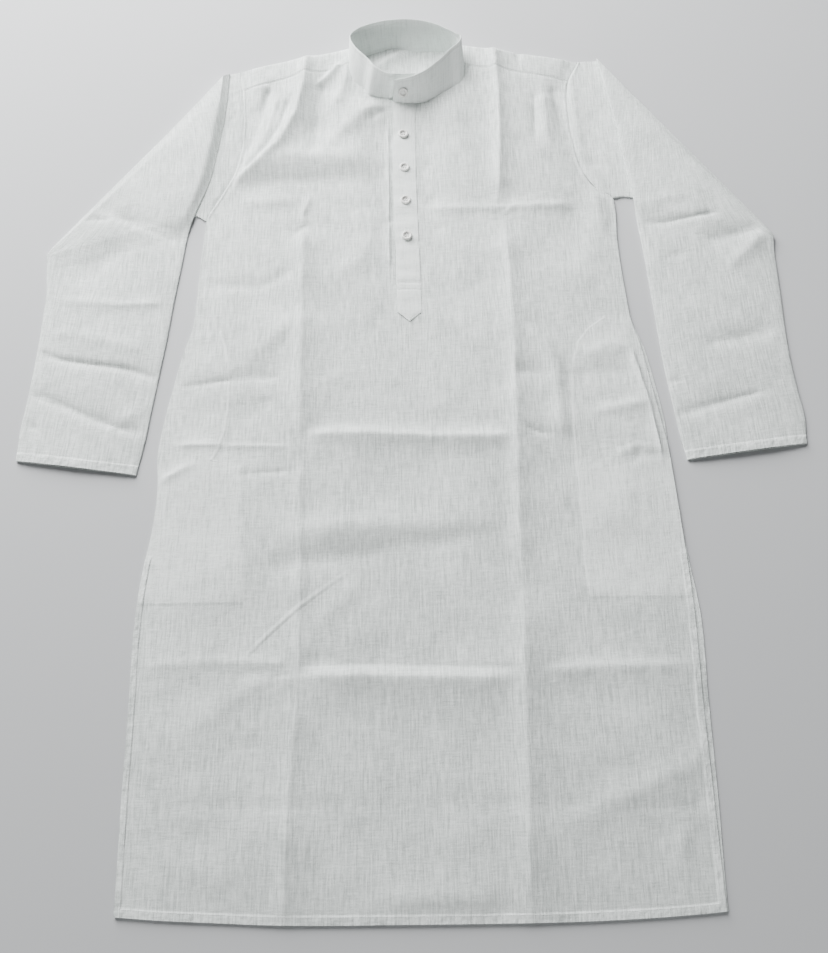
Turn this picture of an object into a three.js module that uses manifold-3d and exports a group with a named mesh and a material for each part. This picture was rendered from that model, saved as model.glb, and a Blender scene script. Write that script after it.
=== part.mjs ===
// A man's long white kurta, laid out flat on its back with its hem towards -Y.
//
// Every sewn piece is a closed wall of cloth of its own. The back lies on the ground, the pocket bags
// lie on the back, the front lies over them, and the yoke wraps over the shoulders from front to back.
// The sleeves are tubes that are turned back along a slanted fold, so they lie down beside the body.
// The band collar stays buttoned and stands up as a ring, with the placket and its buttons below it.
//
// Millimetres, +Z up, +Y from hem to collar. Tables give places on the ground, measured from the middle
// of the hem. The group is moved at the end, so that its origin is the middle of its footprint.

import * as THREE from "three";
import { mergeVertices } from "three/addons/utils/BufferGeometryUtils.js";
import Module from "manifold-3d";

// ---- Driving dimensions ----

const CLOTH = 1; // thickness of one layer of cloth
const GAP = 0.3; // space between two pieces that are sewn or lie together
const LAYER = CLOTH + GAP; // height that each flat layer takes up

const BAG_THICKNESS = 1.6; // a pocket bag is two thin layers in one solid
const BAG_RAISE = 2.2; // how much higher the front lies over a pocket bag
const BAG_MARGIN = 22; // the front is raised this far past the bag's edge
const BAG_SLOPE = 20; // and comes down over this distance

const YOKE_BACK_Y = 1000; // seam between the yoke and the back
const YOKE_INSET = 1; // its turn over the shoulder stops this short of the armhole seam

const PLACKET_WIDTH = 30;
const PLACKET_MIDDLE = -8; // x of the button line
const PLACKET_TOP = 994;
const PLACKET_END = 662; // tip of the placket's point
const PLACKET_SHOULDER = 675; // where its point starts
const SLASH_END = 712; // lower end of the cut that the placket closes
const SEAM_LAP = 2; // the placket laps over the front by this much each side

const BAND_THICKNESS = 2; // two layers of cloth on a stiffener
const BAND_STEPS = 56;

const BUTTON_DIAMETER = 12;
const BUTTON_THICKNESS = 2.4;
const BUTTON_RIM = 1.7; // width of the raised rim
const BUTTON_DISH = 0.9; // depth of the middle below the rim
const BUTTON_HOLE = 1.6;
const BUTTON_HOLE_PITCH = 2.8;
const BUTTON_SIDES = 20;

const FOLD_GAP = 0.3; // space left inside the slanted fold of a sleeve
const ARMHOLE_GAP = 0.5; // measured sideways, which leaves GAP where the seam slants most
const SLEEVE_COLUMNS = 6; // steps across one layer of a sleeve, one for each row of ARMHOLES
const FOLD_STEPS = 4;

// ---- Tables of the cut, as it lies ----

// Side edges of the body below the armholes. The front's right edge lies a little inside the back's.
const BODY_ROWS = [
  { y: -12, left: -309, right: 306, frontRight: 304 },
  { y: 100, left: -311, right: 309, frontRight: 304 },
  { y: 200, left: -312, right: 311, frontRight: 304.5 },
  { y: 300, left: -313, right: 313, frontRight: 306.5 },
  { y: 350, left: -309, right: 308, frontRight: 305 },
  { y: 400, left: -302, right: 303.5, frontRight: 303 },
  { y: 450, left: -300, right: 301, frontRight: 300.5 },
  { y: 490, left: -303, right: 299, frontRight: 298 },
  { y: 520, left: -300, right: 298, frontRight: 294 },
  { y: 580, left: -290, right: 290, frontRight: 285 },
  { y: 620, left: -282, right: 283, frontRight: 279 },
  { y: 655, left: -273, right: 272, frontRight: 270.5 },
  { y: 700, left: -270, right: 267, frontRight: 266.5 },
  { y: 760, left: -268, right: 263, frontRight: 262.5 },
  { y: 812, left: -265, right: 262, frontRight: 262 },
];

// Armhole seams, from the armpit to the shoulder fold. Front, back, yoke and sleeve all follow them.
const ARMHOLES = {
  left: [
    { y: 812, x: -265 },
    { y: 849, x: -248 },
    { y: 879, x: -233.5 },
    { y: 915, x: -226 },
    { y: 965, x: -224.5 },
    { y: 1020, x: -228.5 },
    { y: 1052.5, x: -233 },
  ],
  right: [
    { y: 838, x: 262 },
    { y: 852, x: 243.5 },
    { y: 884, x: 226 },
    { y: 930, x: 217 },
    { y: 985, x: 213.5 },
    { y: 1028, x: 217.5 },
    { y: 1060, x: 233 },
  ],
};
const ARMPIT_SKEW = 26; // the right armpit lies this much higher than the left one
const SKEW_START = 700; // the right side starts to run up at this height

// Rows of the front beside the armholes: where each leaves the placket and meets each armhole.
const CHEST_ROWS = [
  { middleY: 828, leftY: 828, rightY: 845 },
  { middleY: 850, leftY: 849, rightY: 852 },
  { middleY: 866, leftY: 864, rightY: 868 },
  { middleY: 884, leftY: 879, rightY: 884 },
  { middleY: 906, leftY: 897, rightY: 907 },
  { middleY: 928, leftY: 915, rightY: 930 },
  { middleY: 948, leftY: 940, rightY: 957 },
  { middleY: 970, leftY: 965, rightY: 985 },
  { middleY: PLACKET_TOP, leftY: 985, rightY: 998 },
];

// Rows of the front beside the neck, up to the yoke's seam: the neck's edge and the armhole's height.
const NECK_ROWS = {
  left: [
    { neckX: -46, neckY: 1003, armY: 998 },
    { neckX: -70, neckY: 1015, armY: 1006 },
    { neckX: -84, neckY: 1034, armY: 1014 },
    { neckX: -86.5, neckY: 1053, armY: 1020 },
  ],
  right: [
    { neckX: 38, neckY: 999, armY: 1007 },
    { neckX: 62, neckY: 1008, armY: 1015 },
    { neckX: 76, neckY: 1026, armY: 1022 },
    { neckX: 79, neckY: 1052, armY: 1028 },
  ],
};

// The hem, which hangs a little lower in the middle than at its two ends.
const HEM = { leftY: -3, rightY: -5, dip: 8 };

// Crests of the two press folds that run down the whole front.
const PRESS_ROWS = [
  { y: -12, left: -143, right: 107 },
  { y: 300, left: -141, right: 112 },
  { y: 520, left: -140, right: 116 },
  { y: 700, left: -137, right: 118 },
  { y: 860, left: -132, right: 116 },
  { y: 1100, left: -137, right: 116 },
];

// Soft folds of the front and the yoke: a crest's two ends, its half width, and its height at each end.
const FOLDS = [
  { fromX: -137, fromY: 1092, toX: -133, toY: 890, width: 13, fromHeight: 9, toHeight: 5 },
  { fromX: -132, fromY: 870, toX: -139, toY: 620, width: 11, fromHeight: 5, toHeight: 4 },
  { fromX: -139, fromY: 600, toX: -143, toY: -12, width: 11, fromHeight: 4, toHeight: 3 },
  { fromX: 116, fromY: 1100, toX: 116, toY: 880, width: 13, fromHeight: 11, toHeight: 6 },
  { fromX: 116, fromY: 860, toX: 118, toY: 600, width: 11, fromHeight: 5, toHeight: 4 },
  { fromX: 117, fromY: 580, toX: 107, toY: -12, width: 11, fromHeight: 4, toHeight: 3 },
  { fromX: -135, fromY: 512, toX: 118, toY: 515, width: 10, fromHeight: 4, toHeight: 4 },
  { fromX: -135, fromY: 232, toX: 100, toY: 236, width: 13, fromHeight: 3.5, toHeight: 3 },
  { fromX: -140, fromY: 412, toX: 110, toY: 415, width: 20, fromHeight: 2.5, toHeight: 1.5 },
  { fromX: -60, fromY: 595, toX: 110, toY: 608, width: 18, fromHeight: 1.5, toHeight: 3 },
  { fromX: 30, fromY: 822, toX: 195, toY: 822, width: 12, fromHeight: 1.5, toHeight: 2.5 },
  { fromX: -262, fromY: 730, toX: -160, toY: 735, width: 12, fromHeight: 2, toHeight: 3 },
  { fromX: -150, fromY: 1070, toX: -212, toY: 890, width: 14, fromHeight: 6, toHeight: 3.5 },
  { fromX: -45, fromY: 985, toX: -122, toY: 905, width: 16, fromHeight: 6, toHeight: 3 },
  { fromX: 178, fromY: 1010, toX: 186, toY: 925, width: 12, fromHeight: 3, toHeight: 2 },
  { fromX: 176, fromY: 640, toX: 174, toY: 520, width: 10, fromHeight: 2.5, toHeight: 2 },
];

// The stiff collar holds the cloth round the neck up by this much, fading out over a distance.
const NECK_RAISE = { height: 4, reach: 60, y: 1030, halfWidth: 80, halfDepth: 38 };

// Neck end of the shoulder fold on each side; the other end is the top of the armhole.
const SHOULDER_POINT = {
  left: { x: -86.5, y: 1085 },
  right: { x: 79, y: 1089 },
};

// Places of the yoke's columns, as fractions of the way from neck to armhole.
const YOKE_WING = [0, 0.14, 0.23, 0.31, 0.4, 0.55, 0.76, 1];
// Its lower layer alone runs under the neck: x of each column and y of its neck edge.
const YOKE_NECK = [
  { x: -62, y: 1083 },
  { x: -30, y: 1082 },
  { x: 0, y: 1081.5 },
  { x: 30, y: 1082 },
  { x: 55, y: 1083 },
];

// Outline of each pocket bag: y, with the distance of its inner and outer edge from the middle line.
const BAG_ROWS = {
  left: [
    { y: 313, outer: 306, inner: 200 },
    { y: 350, outer: 303, inner: 200 },
    { y: 400, outer: 297, inner: 200 },
    { y: 450, outer: 296, inner: 201 },
    { y: 490, outer: 298, inner: 206 },
    { y: 530, outer: 294, inner: 218 },
    { y: 575, outer: 286, inner: 222 },
    { y: 608, outer: 280, inner: 226 },
    { y: 628, outer: 275, inner: 236 },
    { y: 640, outer: 272, inner: 250 },
  ],
  right: [
    { y: 313, outer: 298, inner: 193 },
    { y: 350, outer: 298, inner: 193 },
    { y: 400, outer: 296, inner: 192 },
    { y: 450, outer: 294, inner: 192 },
    { y: 500, outer: 291, inner: 190 },
    { y: 550, outer: 285, inner: 191 },
    { y: 600, outer: 277, inner: 195 },
    { y: 628, outer: 271, inner: 206 },
    { y: 648, outer: 266, inner: 228 },
    { y: 658, outer: 262, inner: 245 },
  ],
};
const BAG_COLUMNS = 4;

// Sleeves. The lower part runs from the armhole out to the slanted fold. Its sections go from a point
// on the top line to a point on the underarm seam. The rest lies turned back on top of it: its sections
// go from the inner edge to the outer edge, and each says how far its inner edge stands up.
const SLEEVES = {
  left: {
    lower: [
      { topX: -243, topY: 1049, armX: -290, armY: 820 },
      { topX: -252, topY: 1045, armX: -370, armY: 798 },
    ],
    fold: { topX: -262, topY: 1040, armX: -466, armY: 765 },
    // Rows down to the first one that lies past the underarm seam lie on the lower part.
    upper: [
      { innerX: -267, innerY: 985, outerX: -466, outerY: 763.5, raise: 9, lies: "on sleeve" },
      { innerX: -272, innerY: 930, outerX: -465.8, outerY: 762.5, raise: 8, lies: "on sleeve" },
      { innerX: -278, innerY: 870, outerX: -465.6, outerY: 761.5, raise: 5, lies: "on sleeve" },
      { innerX: -284.5, innerY: 815, outerX: -465.4, outerY: 760.5, raise: 2, lies: "on sleeve" },
      { innerX: -288, innerY: 790, outerX: -463.5, outerY: 738, raise: 0, lies: "on ground" },
      { innerX: -293, innerY: 745, outerX: -460.5, outerY: 705, raise: 0, lies: "on ground" },
      { innerX: -299, innerY: 692, outerX: -461, outerY: 668, raise: 0, lies: "on ground" },
      { innerX: -304, innerY: 640, outerX: -462, outerY: 632, raise: 0, lies: "on ground" },
      { innerX: -310, innerY: 590, outerX: -464, outerY: 595, raise: 0, lies: "on ground" },
      { innerX: -316, innerY: 540, outerX: -467, outerY: 555, raise: 0, lies: "on ground" },
      { innerX: -320, innerY: 505, outerX: -470, outerY: 520, raise: 0, lies: "on ground" },
      { innerX: -327, innerY: 465, outerX: -470, outerY: 485, raise: 0, lies: "on ground" },
    ],
    ridges: [
      { fromX: -465, fromY: 640, toX: -305, toY: 612, width: 12, fromHeight: 3, toHeight: 2.5 },
      { fromX: -468, fromY: 585, toX: -318, toY: 530, width: 12, fromHeight: 2.5, toHeight: 2 },
      { fromX: -400, fromY: 868, toX: -288, toY: 812, width: 13, fromHeight: 2, toHeight: 3 },
    ],
  },
  right: {
    lower: [
      { topX: 243, topY: 1062, armX: 290, armY: 838 },
      { topX: 252, topY: 1062, armX: 375, armY: 813 },
    ],
    fold: { topX: 261, topY: 1061, armX: 463, armY: 776 },
    upper: [
      { innerX: 267, innerY: 1010, outerX: 463, outerY: 774.5, raise: 3, lies: "on sleeve" },
      { innerX: 276, innerY: 950, outerX: 462.8, outerY: 773.5, raise: 3, lies: "on sleeve" },
      { innerX: 282, innerY: 892, outerX: 462.6, outerY: 772.5, raise: 2, lies: "on sleeve" },
      { innerX: 289, innerY: 832, outerX: 462.4, outerY: 771.5, raise: 1, lies: "on sleeve" },
      { innerX: 291, innerY: 806, outerX: 461.5, outerY: 748, raise: 0, lies: "on ground" },
      { innerX: 295, innerY: 755, outerX: 461, outerY: 712, raise: 0, lies: "on ground" },
      { innerX: 298, innerY: 702, outerX: 460, outerY: 674, raise: 0, lies: "on ground" },
      { innerX: 301, innerY: 650, outerX: 459, outerY: 636, raise: 0, lies: "on ground" },
      { innerX: 304, innerY: 600, outerX: 459.5, outerY: 598, raise: 0, lies: "on ground" },
      { innerX: 309, innerY: 550, outerX: 462, outerY: 560, raise: 0, lies: "on ground" },
      { innerX: 313, innerY: 512, outerX: 465, outerY: 526, raise: 0, lies: "on ground" },
      { innerX: 319, innerY: 474, outerX: 462, outerY: 492, raise: 0, lies: "on ground" },
    ],
    ridges: [
      { fromX: 318, fromY: 548, toX: 455, toY: 572, width: 12, fromHeight: 2.5, toHeight: 2 },
      { fromX: 300, fromY: 818, toX: 440, toY: 828, width: 14, fromHeight: 2, toHeight: 1.5 },
    ],
  },
};

// The collar band from its outer front end, round by the right side and the back, to the front end
// that lies under the first: where its seam edge and its free edge stand.
const BAND_ROWS = [
  { seamX: -23, seamY: 996, seamZ: 4, rimX: -22, rimY: 1001, rimZ: 40.5 },
  { seamX: -6, seamY: 996, seamZ: 4, rimX: -4, rimY: 1004, rimZ: 40.5 },
  { seamX: 14, seamY: 997.5, seamZ: 4, rimX: 15, rimY: 1011, rimZ: 40.5 },
  { seamX: 40, seamY: 1003, seamZ: 4, rimX: 40, rimY: 1032, rimZ: 39.5 },
  { seamX: 60, seamY: 1012, seamZ: 4, rimX: 58, rimY: 1050, rimZ: 37.5 },
  { seamX: 73, seamY: 1030, seamZ: 4, rimX: 69, rimY: 1068, rimZ: 36 },
  { seamX: 75.5, seamY: 1058, seamZ: 3.5, rimX: 64, rimY: 1082, rimZ: 34.5 },
  { seamX: 68, seamY: 1082, seamZ: 1.6, rimX: 50, rimY: 1094, rimZ: 32 },
  { seamX: 35, seamY: 1085, seamZ: 1.4, rimX: 27, rimY: 1106, rimZ: 30.5 },
  { seamX: 0, seamY: 1084.5, seamZ: 1.4, rimX: 0, rimY: 1112, rimZ: 29.5 },
  { seamX: -40, seamY: 1085, seamZ: 1.4, rimX: -40, rimY: 1109, rimZ: 31 },
  { seamX: -71, seamY: 1083, seamZ: 1.6, rimX: -66, rimY: 1100, rimZ: 33.5 },
  { seamX: -82.5, seamY: 1068, seamZ: 3.5, rimX: -77, rimY: 1085, rimZ: 36 },
  { seamX: -82, seamY: 1043, seamZ: 4, rimX: -74, rimY: 1066, rimZ: 38 },
  { seamX: -67, seamY: 1018, seamZ: 4, rimX: -57, rimY: 1043, rimZ: 39 },
  { seamX: -44, seamY: 1006, seamZ: 4, rimX: -36, rimY: 1023, rimZ: 39.5 },
  { seamX: -18, seamY: 1000.5, seamZ: 4, rimX: -13, rimY: 1013, rimZ: 40 },
  { seamX: 7, seamY: 1000.5, seamZ: 4, rimX: 8, rimY: 1014.5, rimZ: 40 },
];

// Buttons down the placket. The first one sits on the collar band and faces forwards.
const PLACKET_BUTTONS = [
  { name: "button_2", x: -9, y: 942 },
  { name: "button_3", x: -8, y: 889 },
  { name: "button_4", x: -7, y: 838 },
  { name: "button_5", x: -6, y: 784 },
];
const COLLAR_BUTTON = { name: "button_1", x: -8, height: 0.48 };

// ---- Materials ----

const cottonColor = { color: 0xe4e7e6, roughness: 0.9, metalness: 0 };
const cotton = (name) => new THREE.MeshStandardMaterial({ name, ...cottonColor });
const plastic = () => new THREE.MeshStandardMaterial({ name: "button", color: 0xe9e9e4, roughness: 0.35, metalness: 0 });

// ---- Small helpers ----

const { lerp, smoothstep, clamp } = THREE.MathUtils;

/** A column of a table, read at the height y between its rows. */
function columnAt(rows, column, y) {
  const above = rows.findIndex((row) => row.y >= y);
  if (above === 0) return rows[0][column];
  if (above < 0) return rows[rows.length - 1][column];
  const low = rows[above - 1];
  const high = rows[above];
  return lerp(low[column], high[column], (y - low.y) / (high.y - low.y));
}

/** How far out the armhole seam lies at the height y. */
const armholeAt = (side, y) => columnAt(ARMHOLES[side], "x", y);

/** Height on the right side of a row that lies at y on the left side. */
const skewed = (y) => y + ARMPIT_SKEW * smoothstep(y, SKEW_START, ARMHOLES.left[0].y);

/** Height of one fold at a place: a smooth crest along its line that fades out past its ends. */
function foldHeight(fold, x, y) {
  const alongX = fold.toX - fold.fromX;
  const alongY = fold.toY - fold.fromY;
  const length = Math.hypot(alongX, alongY);
  const along = ((x - fold.fromX) * alongX + (y - fold.fromY) * alongY) / length;
  const across = ((x - fold.fromX) * alongY - (y - fold.fromY) * alongX) / length;
  const past = Math.max(-along, along - length, 0);
  const height = lerp(fold.fromHeight, fold.toHeight, clamp(along / length, 0, 1));
  return height * Math.exp(-((across / fold.width) ** 2)) * Math.exp(-((past / fold.width) ** 2));
}

/** Crests that cross don't add up: the highest one wins, with a little of the others. */
function foldsHeight(folds, x, y) {
  const heights = folds.map((fold) => foldHeight(fold, x, y));
  const highest = Math.max(...heights);
  const rest = heights.reduce((sum, height) => sum + height, 0) - highest;
  return highest + rest / 4;
}

/** How much a pocket bag holds the front up: all of it over the bag, then sloping away. */
function bagRaise(rows, side, x, y) {
  const bottom = rows[0].y;
  const top = rows[rows.length - 1].y;
  const innerEdge = columnAt(rows, "inner", clamp(y, bottom, top));
  const outside = Math.max(innerEdge - side * x, bottom - y, y - top);
  return BAG_RAISE * (1 - smoothstep(outside, BAG_MARGIN, BAG_MARGIN + BAG_SLOPE));
}

/** The lift of the cloth round the standing collar. */
function neckRaise(x, y) {
  const fromNeck = Math.hypot(
    Math.max(Math.abs(x - PLACKET_MIDDLE) - NECK_RAISE.halfWidth, 0),
    Math.max(Math.abs(y - NECK_RAISE.y) - NECK_RAISE.halfDepth, 0),
  );
  return NECK_RAISE.height * (1 - smoothstep(fromNeck, 0, NECK_RAISE.reach));
}

/** Height of the underside of the front, and of the yoke's upper layer. */
function frontUnderside(x, y) {
  const bags = bagRaise(BAG_ROWS.left, -1, x, y) + bagRaise(BAG_ROWS.right, 1, x, y);
  return LAYER + bags + neckRaise(x, y) + foldsHeight(FOLDS, x, y);
}

/** One node of a sheet of cloth: a place, the height of its underside, and its thickness. */
function flatNode(x, y, underside, thickness = CLOTH) {
  return {
    face: new THREE.Vector3(x, y, underside + thickness),
    reverse: new THREE.Vector3(x, y, underside),
  };
}

/**
 * A closed wall of cloth over a grid of nodes, each with a point on the cloth's face and one on its
 * reverse. Cells for which has(row, column) is false are left open. A ring joins its last column to
 * its first one.
 */
function wallOf(sheet, { ring = false, has = () => true } = {}) {
  const columns = sheet[0].length;
  const cellRows = sheet.length - 1;
  const cellColumns = ring ? columns : columns - 1;
  const positions = sheet.flat().flatMap(({ face, reverse }) => [...face.toArray(), ...reverse.toArray()]);
  const index = [];

  const at = (row, column) => 2 * (row * columns + (column % columns));
  const quad = (a, b, c, d) => index.push(a, b, c, a, c, d);
  const isCell = (row, column) => {
    const wrapped = ring ? (column + cellColumns) % cellColumns : column;
    const inside = row >= 0 && row < cellRows && wrapped >= 0 && wrapped < cellColumns;
    return inside && has(row, wrapped);
  };

  for (let row = 0; row < cellRows; row++) {
    for (let column = 0; column < cellColumns; column++) {
      if (!isCell(row, column)) continue;
      const corners = [at(row, column), at(row, column + 1), at(row + 1, column + 1), at(row + 1, column)];
      const [a, b, c, d] = corners;
      quad(a, b, c, d);
      quad(a + 1, d + 1, c + 1, b + 1);
      const neighbours = [
        [row - 1, column],
        [row, column + 1],
        [row + 1, column],
        [row, column - 1],
      ];
      neighbours.forEach(([nextRow, nextColumn], edge) => {
        if (isCell(nextRow, nextColumn)) return;
        const start = corners[edge];
        const end = corners[(edge + 1) % 4];
        quad(start, start + 1, end + 1, end);
      });
    }
  }

  const geometry = new THREE.BufferGeometry();
  geometry.setAttribute("position", new THREE.Float32BufferAttribute(positions, 3));
  geometry.setIndex(facingOut(positions, index));
  geometry.computeVertexNormals();
  return geometry;
}

/** Turns a closed surface's triangles round if they face inwards. */
function facingOut(positions, index) {
  const corner = new THREE.Vector3();
  const [a, b, c] = [corner, corner.clone(), corner.clone()];
  let volume = 0;
  for (let i = 0; i < index.length; i += 3) {
    a.fromArray(positions, 3 * index[i]);
    b.fromArray(positions, 3 * index[i + 1]);
    c.fromArray(positions, 3 * index[i + 2]);
    volume += a.dot(b.cross(c));
  }
  if (volume > 0) return index;
  const turned = [...index];
  for (let i = 0; i < turned.length; i += 3) [turned[i + 1], turned[i + 2]] = [index[i + 2], index[i + 1]];
  return turned;
}

function meshOf(name, geometry, material) {
  const mesh = new THREE.Mesh(geometry, material);
  mesh.name = name;
  return mesh;
}

// ---- Back ----

/** The back is flat on the ground, from the hem to the seam under the shoulder blades. */
function makeBack() {
  const hem = { left: [BODY_ROWS[0].left, HEM.leftY], right: [BODY_ROWS[0].right, HEM.rightY] };
  const sides = BODY_ROWS.slice(1).map((row) => ({
    left: [row.left, row.y],
    right: [row.right, skewed(row.y)],
  }));
  const armholes = ARMHOLES.left.slice(1, -2).map(({ x, y }, row) => ({
    left: [x, y],
    right: [ARMHOLES.right[row + 1].x, ARMHOLES.right[row + 1].y],
  }));
  const top = YOKE_BACK_Y - GAP;
  const seam = { left: [armholeAt("left", top), top], right: [armholeAt("right", top), top] };
  const columns = 8;
  const sheet = [hem, ...sides, ...armholes, seam].map(({ left, right }, row) =>
    Array.from({ length: columns + 1 }, (_, column) => {
      const across = column / columns;
      const dip = row === 0 ? HEM.dip * Math.sin(Math.PI * across) : 0;
      return flatNode(lerp(left[0], right[0], across), lerp(left[1], right[1], across) - dip, 0);
    }),
  );
  return meshOf("back_body", wallOf(sheet), cotton("back"));
}

// ---- Front ----

const SLASH_LEFT = PLACKET_MIDDLE - PLACKET_WIDTH / 2 + SEAM_LAP;
const SLASH_RIGHT = PLACKET_MIDDLE + PLACKET_WIDTH / 2 - SEAM_LAP;

// Heights of the front's rows below the armholes: close together at the cross folds.
const FRONT_STATIONS = [
  55, 110, 165, 208, 224, 236, 250, 285, 320, 355, 385, 400, 415, 432, 465, 495, 506, 514, 524, 540,
  570, 592, 608, 630, 660, 690, SLASH_END, 735, 762, 790, 812,
];

/** The ends of each row of the front: outer edge, placket or neck, and the same on the other side. */
function frontRows() {
  const hem = {
    left: [BODY_ROWS[0].left, HEM.leftY],
    innerLeft: [SLASH_LEFT, HEM.leftY - HEM.dip],
    innerRight: [SLASH_RIGHT, HEM.leftY - HEM.dip],
    right: [BODY_ROWS[0].frontRight, HEM.rightY],
  };
  const sides = FRONT_STATIONS.map((y) => ({
    left: [columnAt(BODY_ROWS, "left", y), y],
    innerLeft: [SLASH_LEFT, y],
    innerRight: [SLASH_RIGHT, y],
    right: [columnAt(BODY_ROWS, "frontRight", y), skewed(y)],
  }));
  const chest = CHEST_ROWS.map(({ middleY, leftY, rightY }) => ({
    left: [armholeAt("left", leftY), leftY],
    innerLeft: [SLASH_LEFT, middleY],
    innerRight: [SLASH_RIGHT, middleY],
    right: [armholeAt("right", rightY), rightY],
  }));
  const necks = NECK_ROWS.left.map((left, row) => {
    const right = NECK_ROWS.right[row];
    return {
      left: [armholeAt("left", left.armY), left.armY],
      innerLeft: [left.neckX, left.neckY],
      innerRight: [right.neckX, right.neckY],
      right: [armholeAt("right", right.armY), right.armY],
    };
  });
  return [hem, ...sides, ...chest, ...necks];
}

/** Columns across one side of the front, with three of them along its press fold. */
function columnsAcross(edge, inner, crestX) {
  const foldWidth = 12;
  const crest = clamp((crestX - edge[0]) / (inner[0] - edge[0]), 0, 1);
  const step = foldWidth / Math.abs(inner[0] - edge[0]);
  const outside = [0, 0.25, 0.5, 0.75].map((part) => part * (crest - step));
  const inside = [0, 0.34, 0.68, 1].map((part) => lerp(crest + step, 1, part));
  return [...outside, crest - step, crest, ...inside].map((part) => ({
    x: lerp(edge[0], inner[0], part),
    y: lerp(edge[1], inner[1], part),
  }));
}

function makeFront() {
  const rows = frontRows();
  const sheet = rows.map(({ left, innerLeft, innerRight, right }) => {
    const leftColumns = columnsAcross(left, innerLeft, columnAt(PRESS_ROWS, "left", innerLeft[1]));
    const rightColumns = columnsAcross(right, innerRight, columnAt(PRESS_ROWS, "right", innerRight[1]));
    return [...leftColumns, ...rightColumns.reverse()].map(({ x, y }) => flatNode(x, y, frontUnderside(x, y)));
  });
  const middle = sheet[0].length / 2 - 1;
  const slashRow = rows.findIndex(({ innerLeft }) => innerLeft[1] >= SLASH_END);
  const has = (row, column) => column !== middle || row < slashRow;
  return meshOf("front_body", wallOf(sheet, { has }), cotton("front"));
}

// ---- Yoke ----

/** A place across the yoke on one side: on its front seam, its shoulder fold and its back seam. */
function yokeColumn(side, part) {
  const { neckX, neckY, armY } = NECK_ROWS[side].at(-1);
  const shoulder = ARMHOLES[side].at(-1);
  const neck = SHOULDER_POINT[side];
  return {
    seamX: lerp(neckX, armholeAt(side, armY), part),
    seamY: lerp(neckY, armY, part) + GAP,
    foldX: lerp(neck.x, shoulder.x - Math.sign(shoulder.x) * YOKE_INSET, part),
    foldY: lerp(neck.y, shoulder.y, part),
    backX: lerp(neck.x, armholeAt(side, YOKE_BACK_Y), part),
  };
}

/** The yoke's section at one column: forward layer, turn over the shoulder, and the layer below. */
function yokeSection({ seamX, seamY, foldX, foldY, backX }) {
  const turnSteps = 4;
  const low = CLOTH / 2;
  const middleOf = (x, y) => frontUnderside(x, y) + CLOTH / 2;
  const high = middleOf(foldX, foldY);
  const radius = (high - low) / 2;
  const centreY = foldY - radius - CLOTH / 2;
  const section = [];
  for (const part of [0, 0.5, 1]) {
    const x = lerp(seamX, foldX, part);
    const y = lerp(seamY, centreY, part);
    section.push({ x, y, z: part === 1 ? high : middleOf(x, y), tilt: Math.PI / 2 });
  }
  for (let step = 1; step <= turnSteps; step++) {
    const tilt = Math.PI / 2 - (Math.PI * step) / turnSteps;
    const y = centreY + radius * Math.cos(tilt);
    section.push({ x: foldX, y, z: low + radius + radius * Math.sin(tilt), tilt });
  }
  section.push({ x: seamX, y: seamY, z: low, tilt: -Math.PI / 2 });
  section.push({ x: backX, y: YOKE_BACK_Y, z: low, tilt: -Math.PI / 2 });
  return section;
}

/** Two faces, half a thickness each way from the middle of the cloth. */
function offsetNode({ x, y, z, tilt }) {
  const out = new THREE.Vector3(0, Math.cos(tilt), Math.sin(tilt)).multiplyScalar(CLOTH / 2);
  const middle = new THREE.Vector3(x, y, z);
  return { face: middle.clone().add(out), reverse: middle.sub(out) };
}

function makeYoke() {
  const left = [...YOKE_WING].reverse().map((part) => yokeSection(yokeColumn("left", part)));
  const right = YOKE_WING.map((part) => yokeSection(yokeColumn("right", part)));
  const lastUpper = left[0].length - 3; // row where the lower layer begins
  const under = YOKE_NECK.map(({ x, y }) =>
    left[0].map((_, row) => {
      const part = clamp((row - lastUpper) / 2, 0, 1);
      return { x, y: lerp(y, YOKE_BACK_Y, part), z: CLOTH / 2, tilt: -Math.PI / 2 };
    }),
  );
  const columns = [...left, ...under, ...right];
  const sheet = left[0].map((_, row) => columns.map((section) => offsetNode(section[row])));
  const isWing = (column) => column < left.length - 1 || column >= left.length + under.length;
  const has = (row, column) => row >= lastUpper || isWing(column);
  return meshOf("yoke", wallOf(sheet, { has }), cotton("yoke"));
}

// ---- Placket ----

/** The underlay fills the slash; it is level with the front and shows between the layers only. */
function makeUnderPlacket() {
  const left = SLASH_LEFT + GAP;
  const right = SLASH_RIGHT - GAP;
  const stations = 14;
  const sheet = Array.from({ length: stations + 1 }, (_, row) => {
    const y = lerp(SLASH_END + GAP, PLACKET_TOP, row / stations);
    return [0, 0.5, 1].map((part) => {
      const x = lerp(left, right, part);
      return flatNode(x, y, placketFloor(x, y));
    });
  });
  return meshOf("placket_under", wallOf(sheet), cotton("placket"));
}

/** The front's height beside the placket, taken over straight from edge to edge. */
function placketFloor(x, y) {
  const part = clamp((x - SLASH_LEFT) / (SLASH_RIGHT - SLASH_LEFT), 0, 1);
  return lerp(frontUnderside(SLASH_LEFT, y), frontUnderside(SLASH_RIGHT, y), part);
}

/** Height of the underside of the upper band, which lies on the front's edges and the underlay. */
const placketUnderside = (x, y) => Math.max(frontUnderside(x, y), placketFloor(x, y)) + LAYER + GAP;

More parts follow.
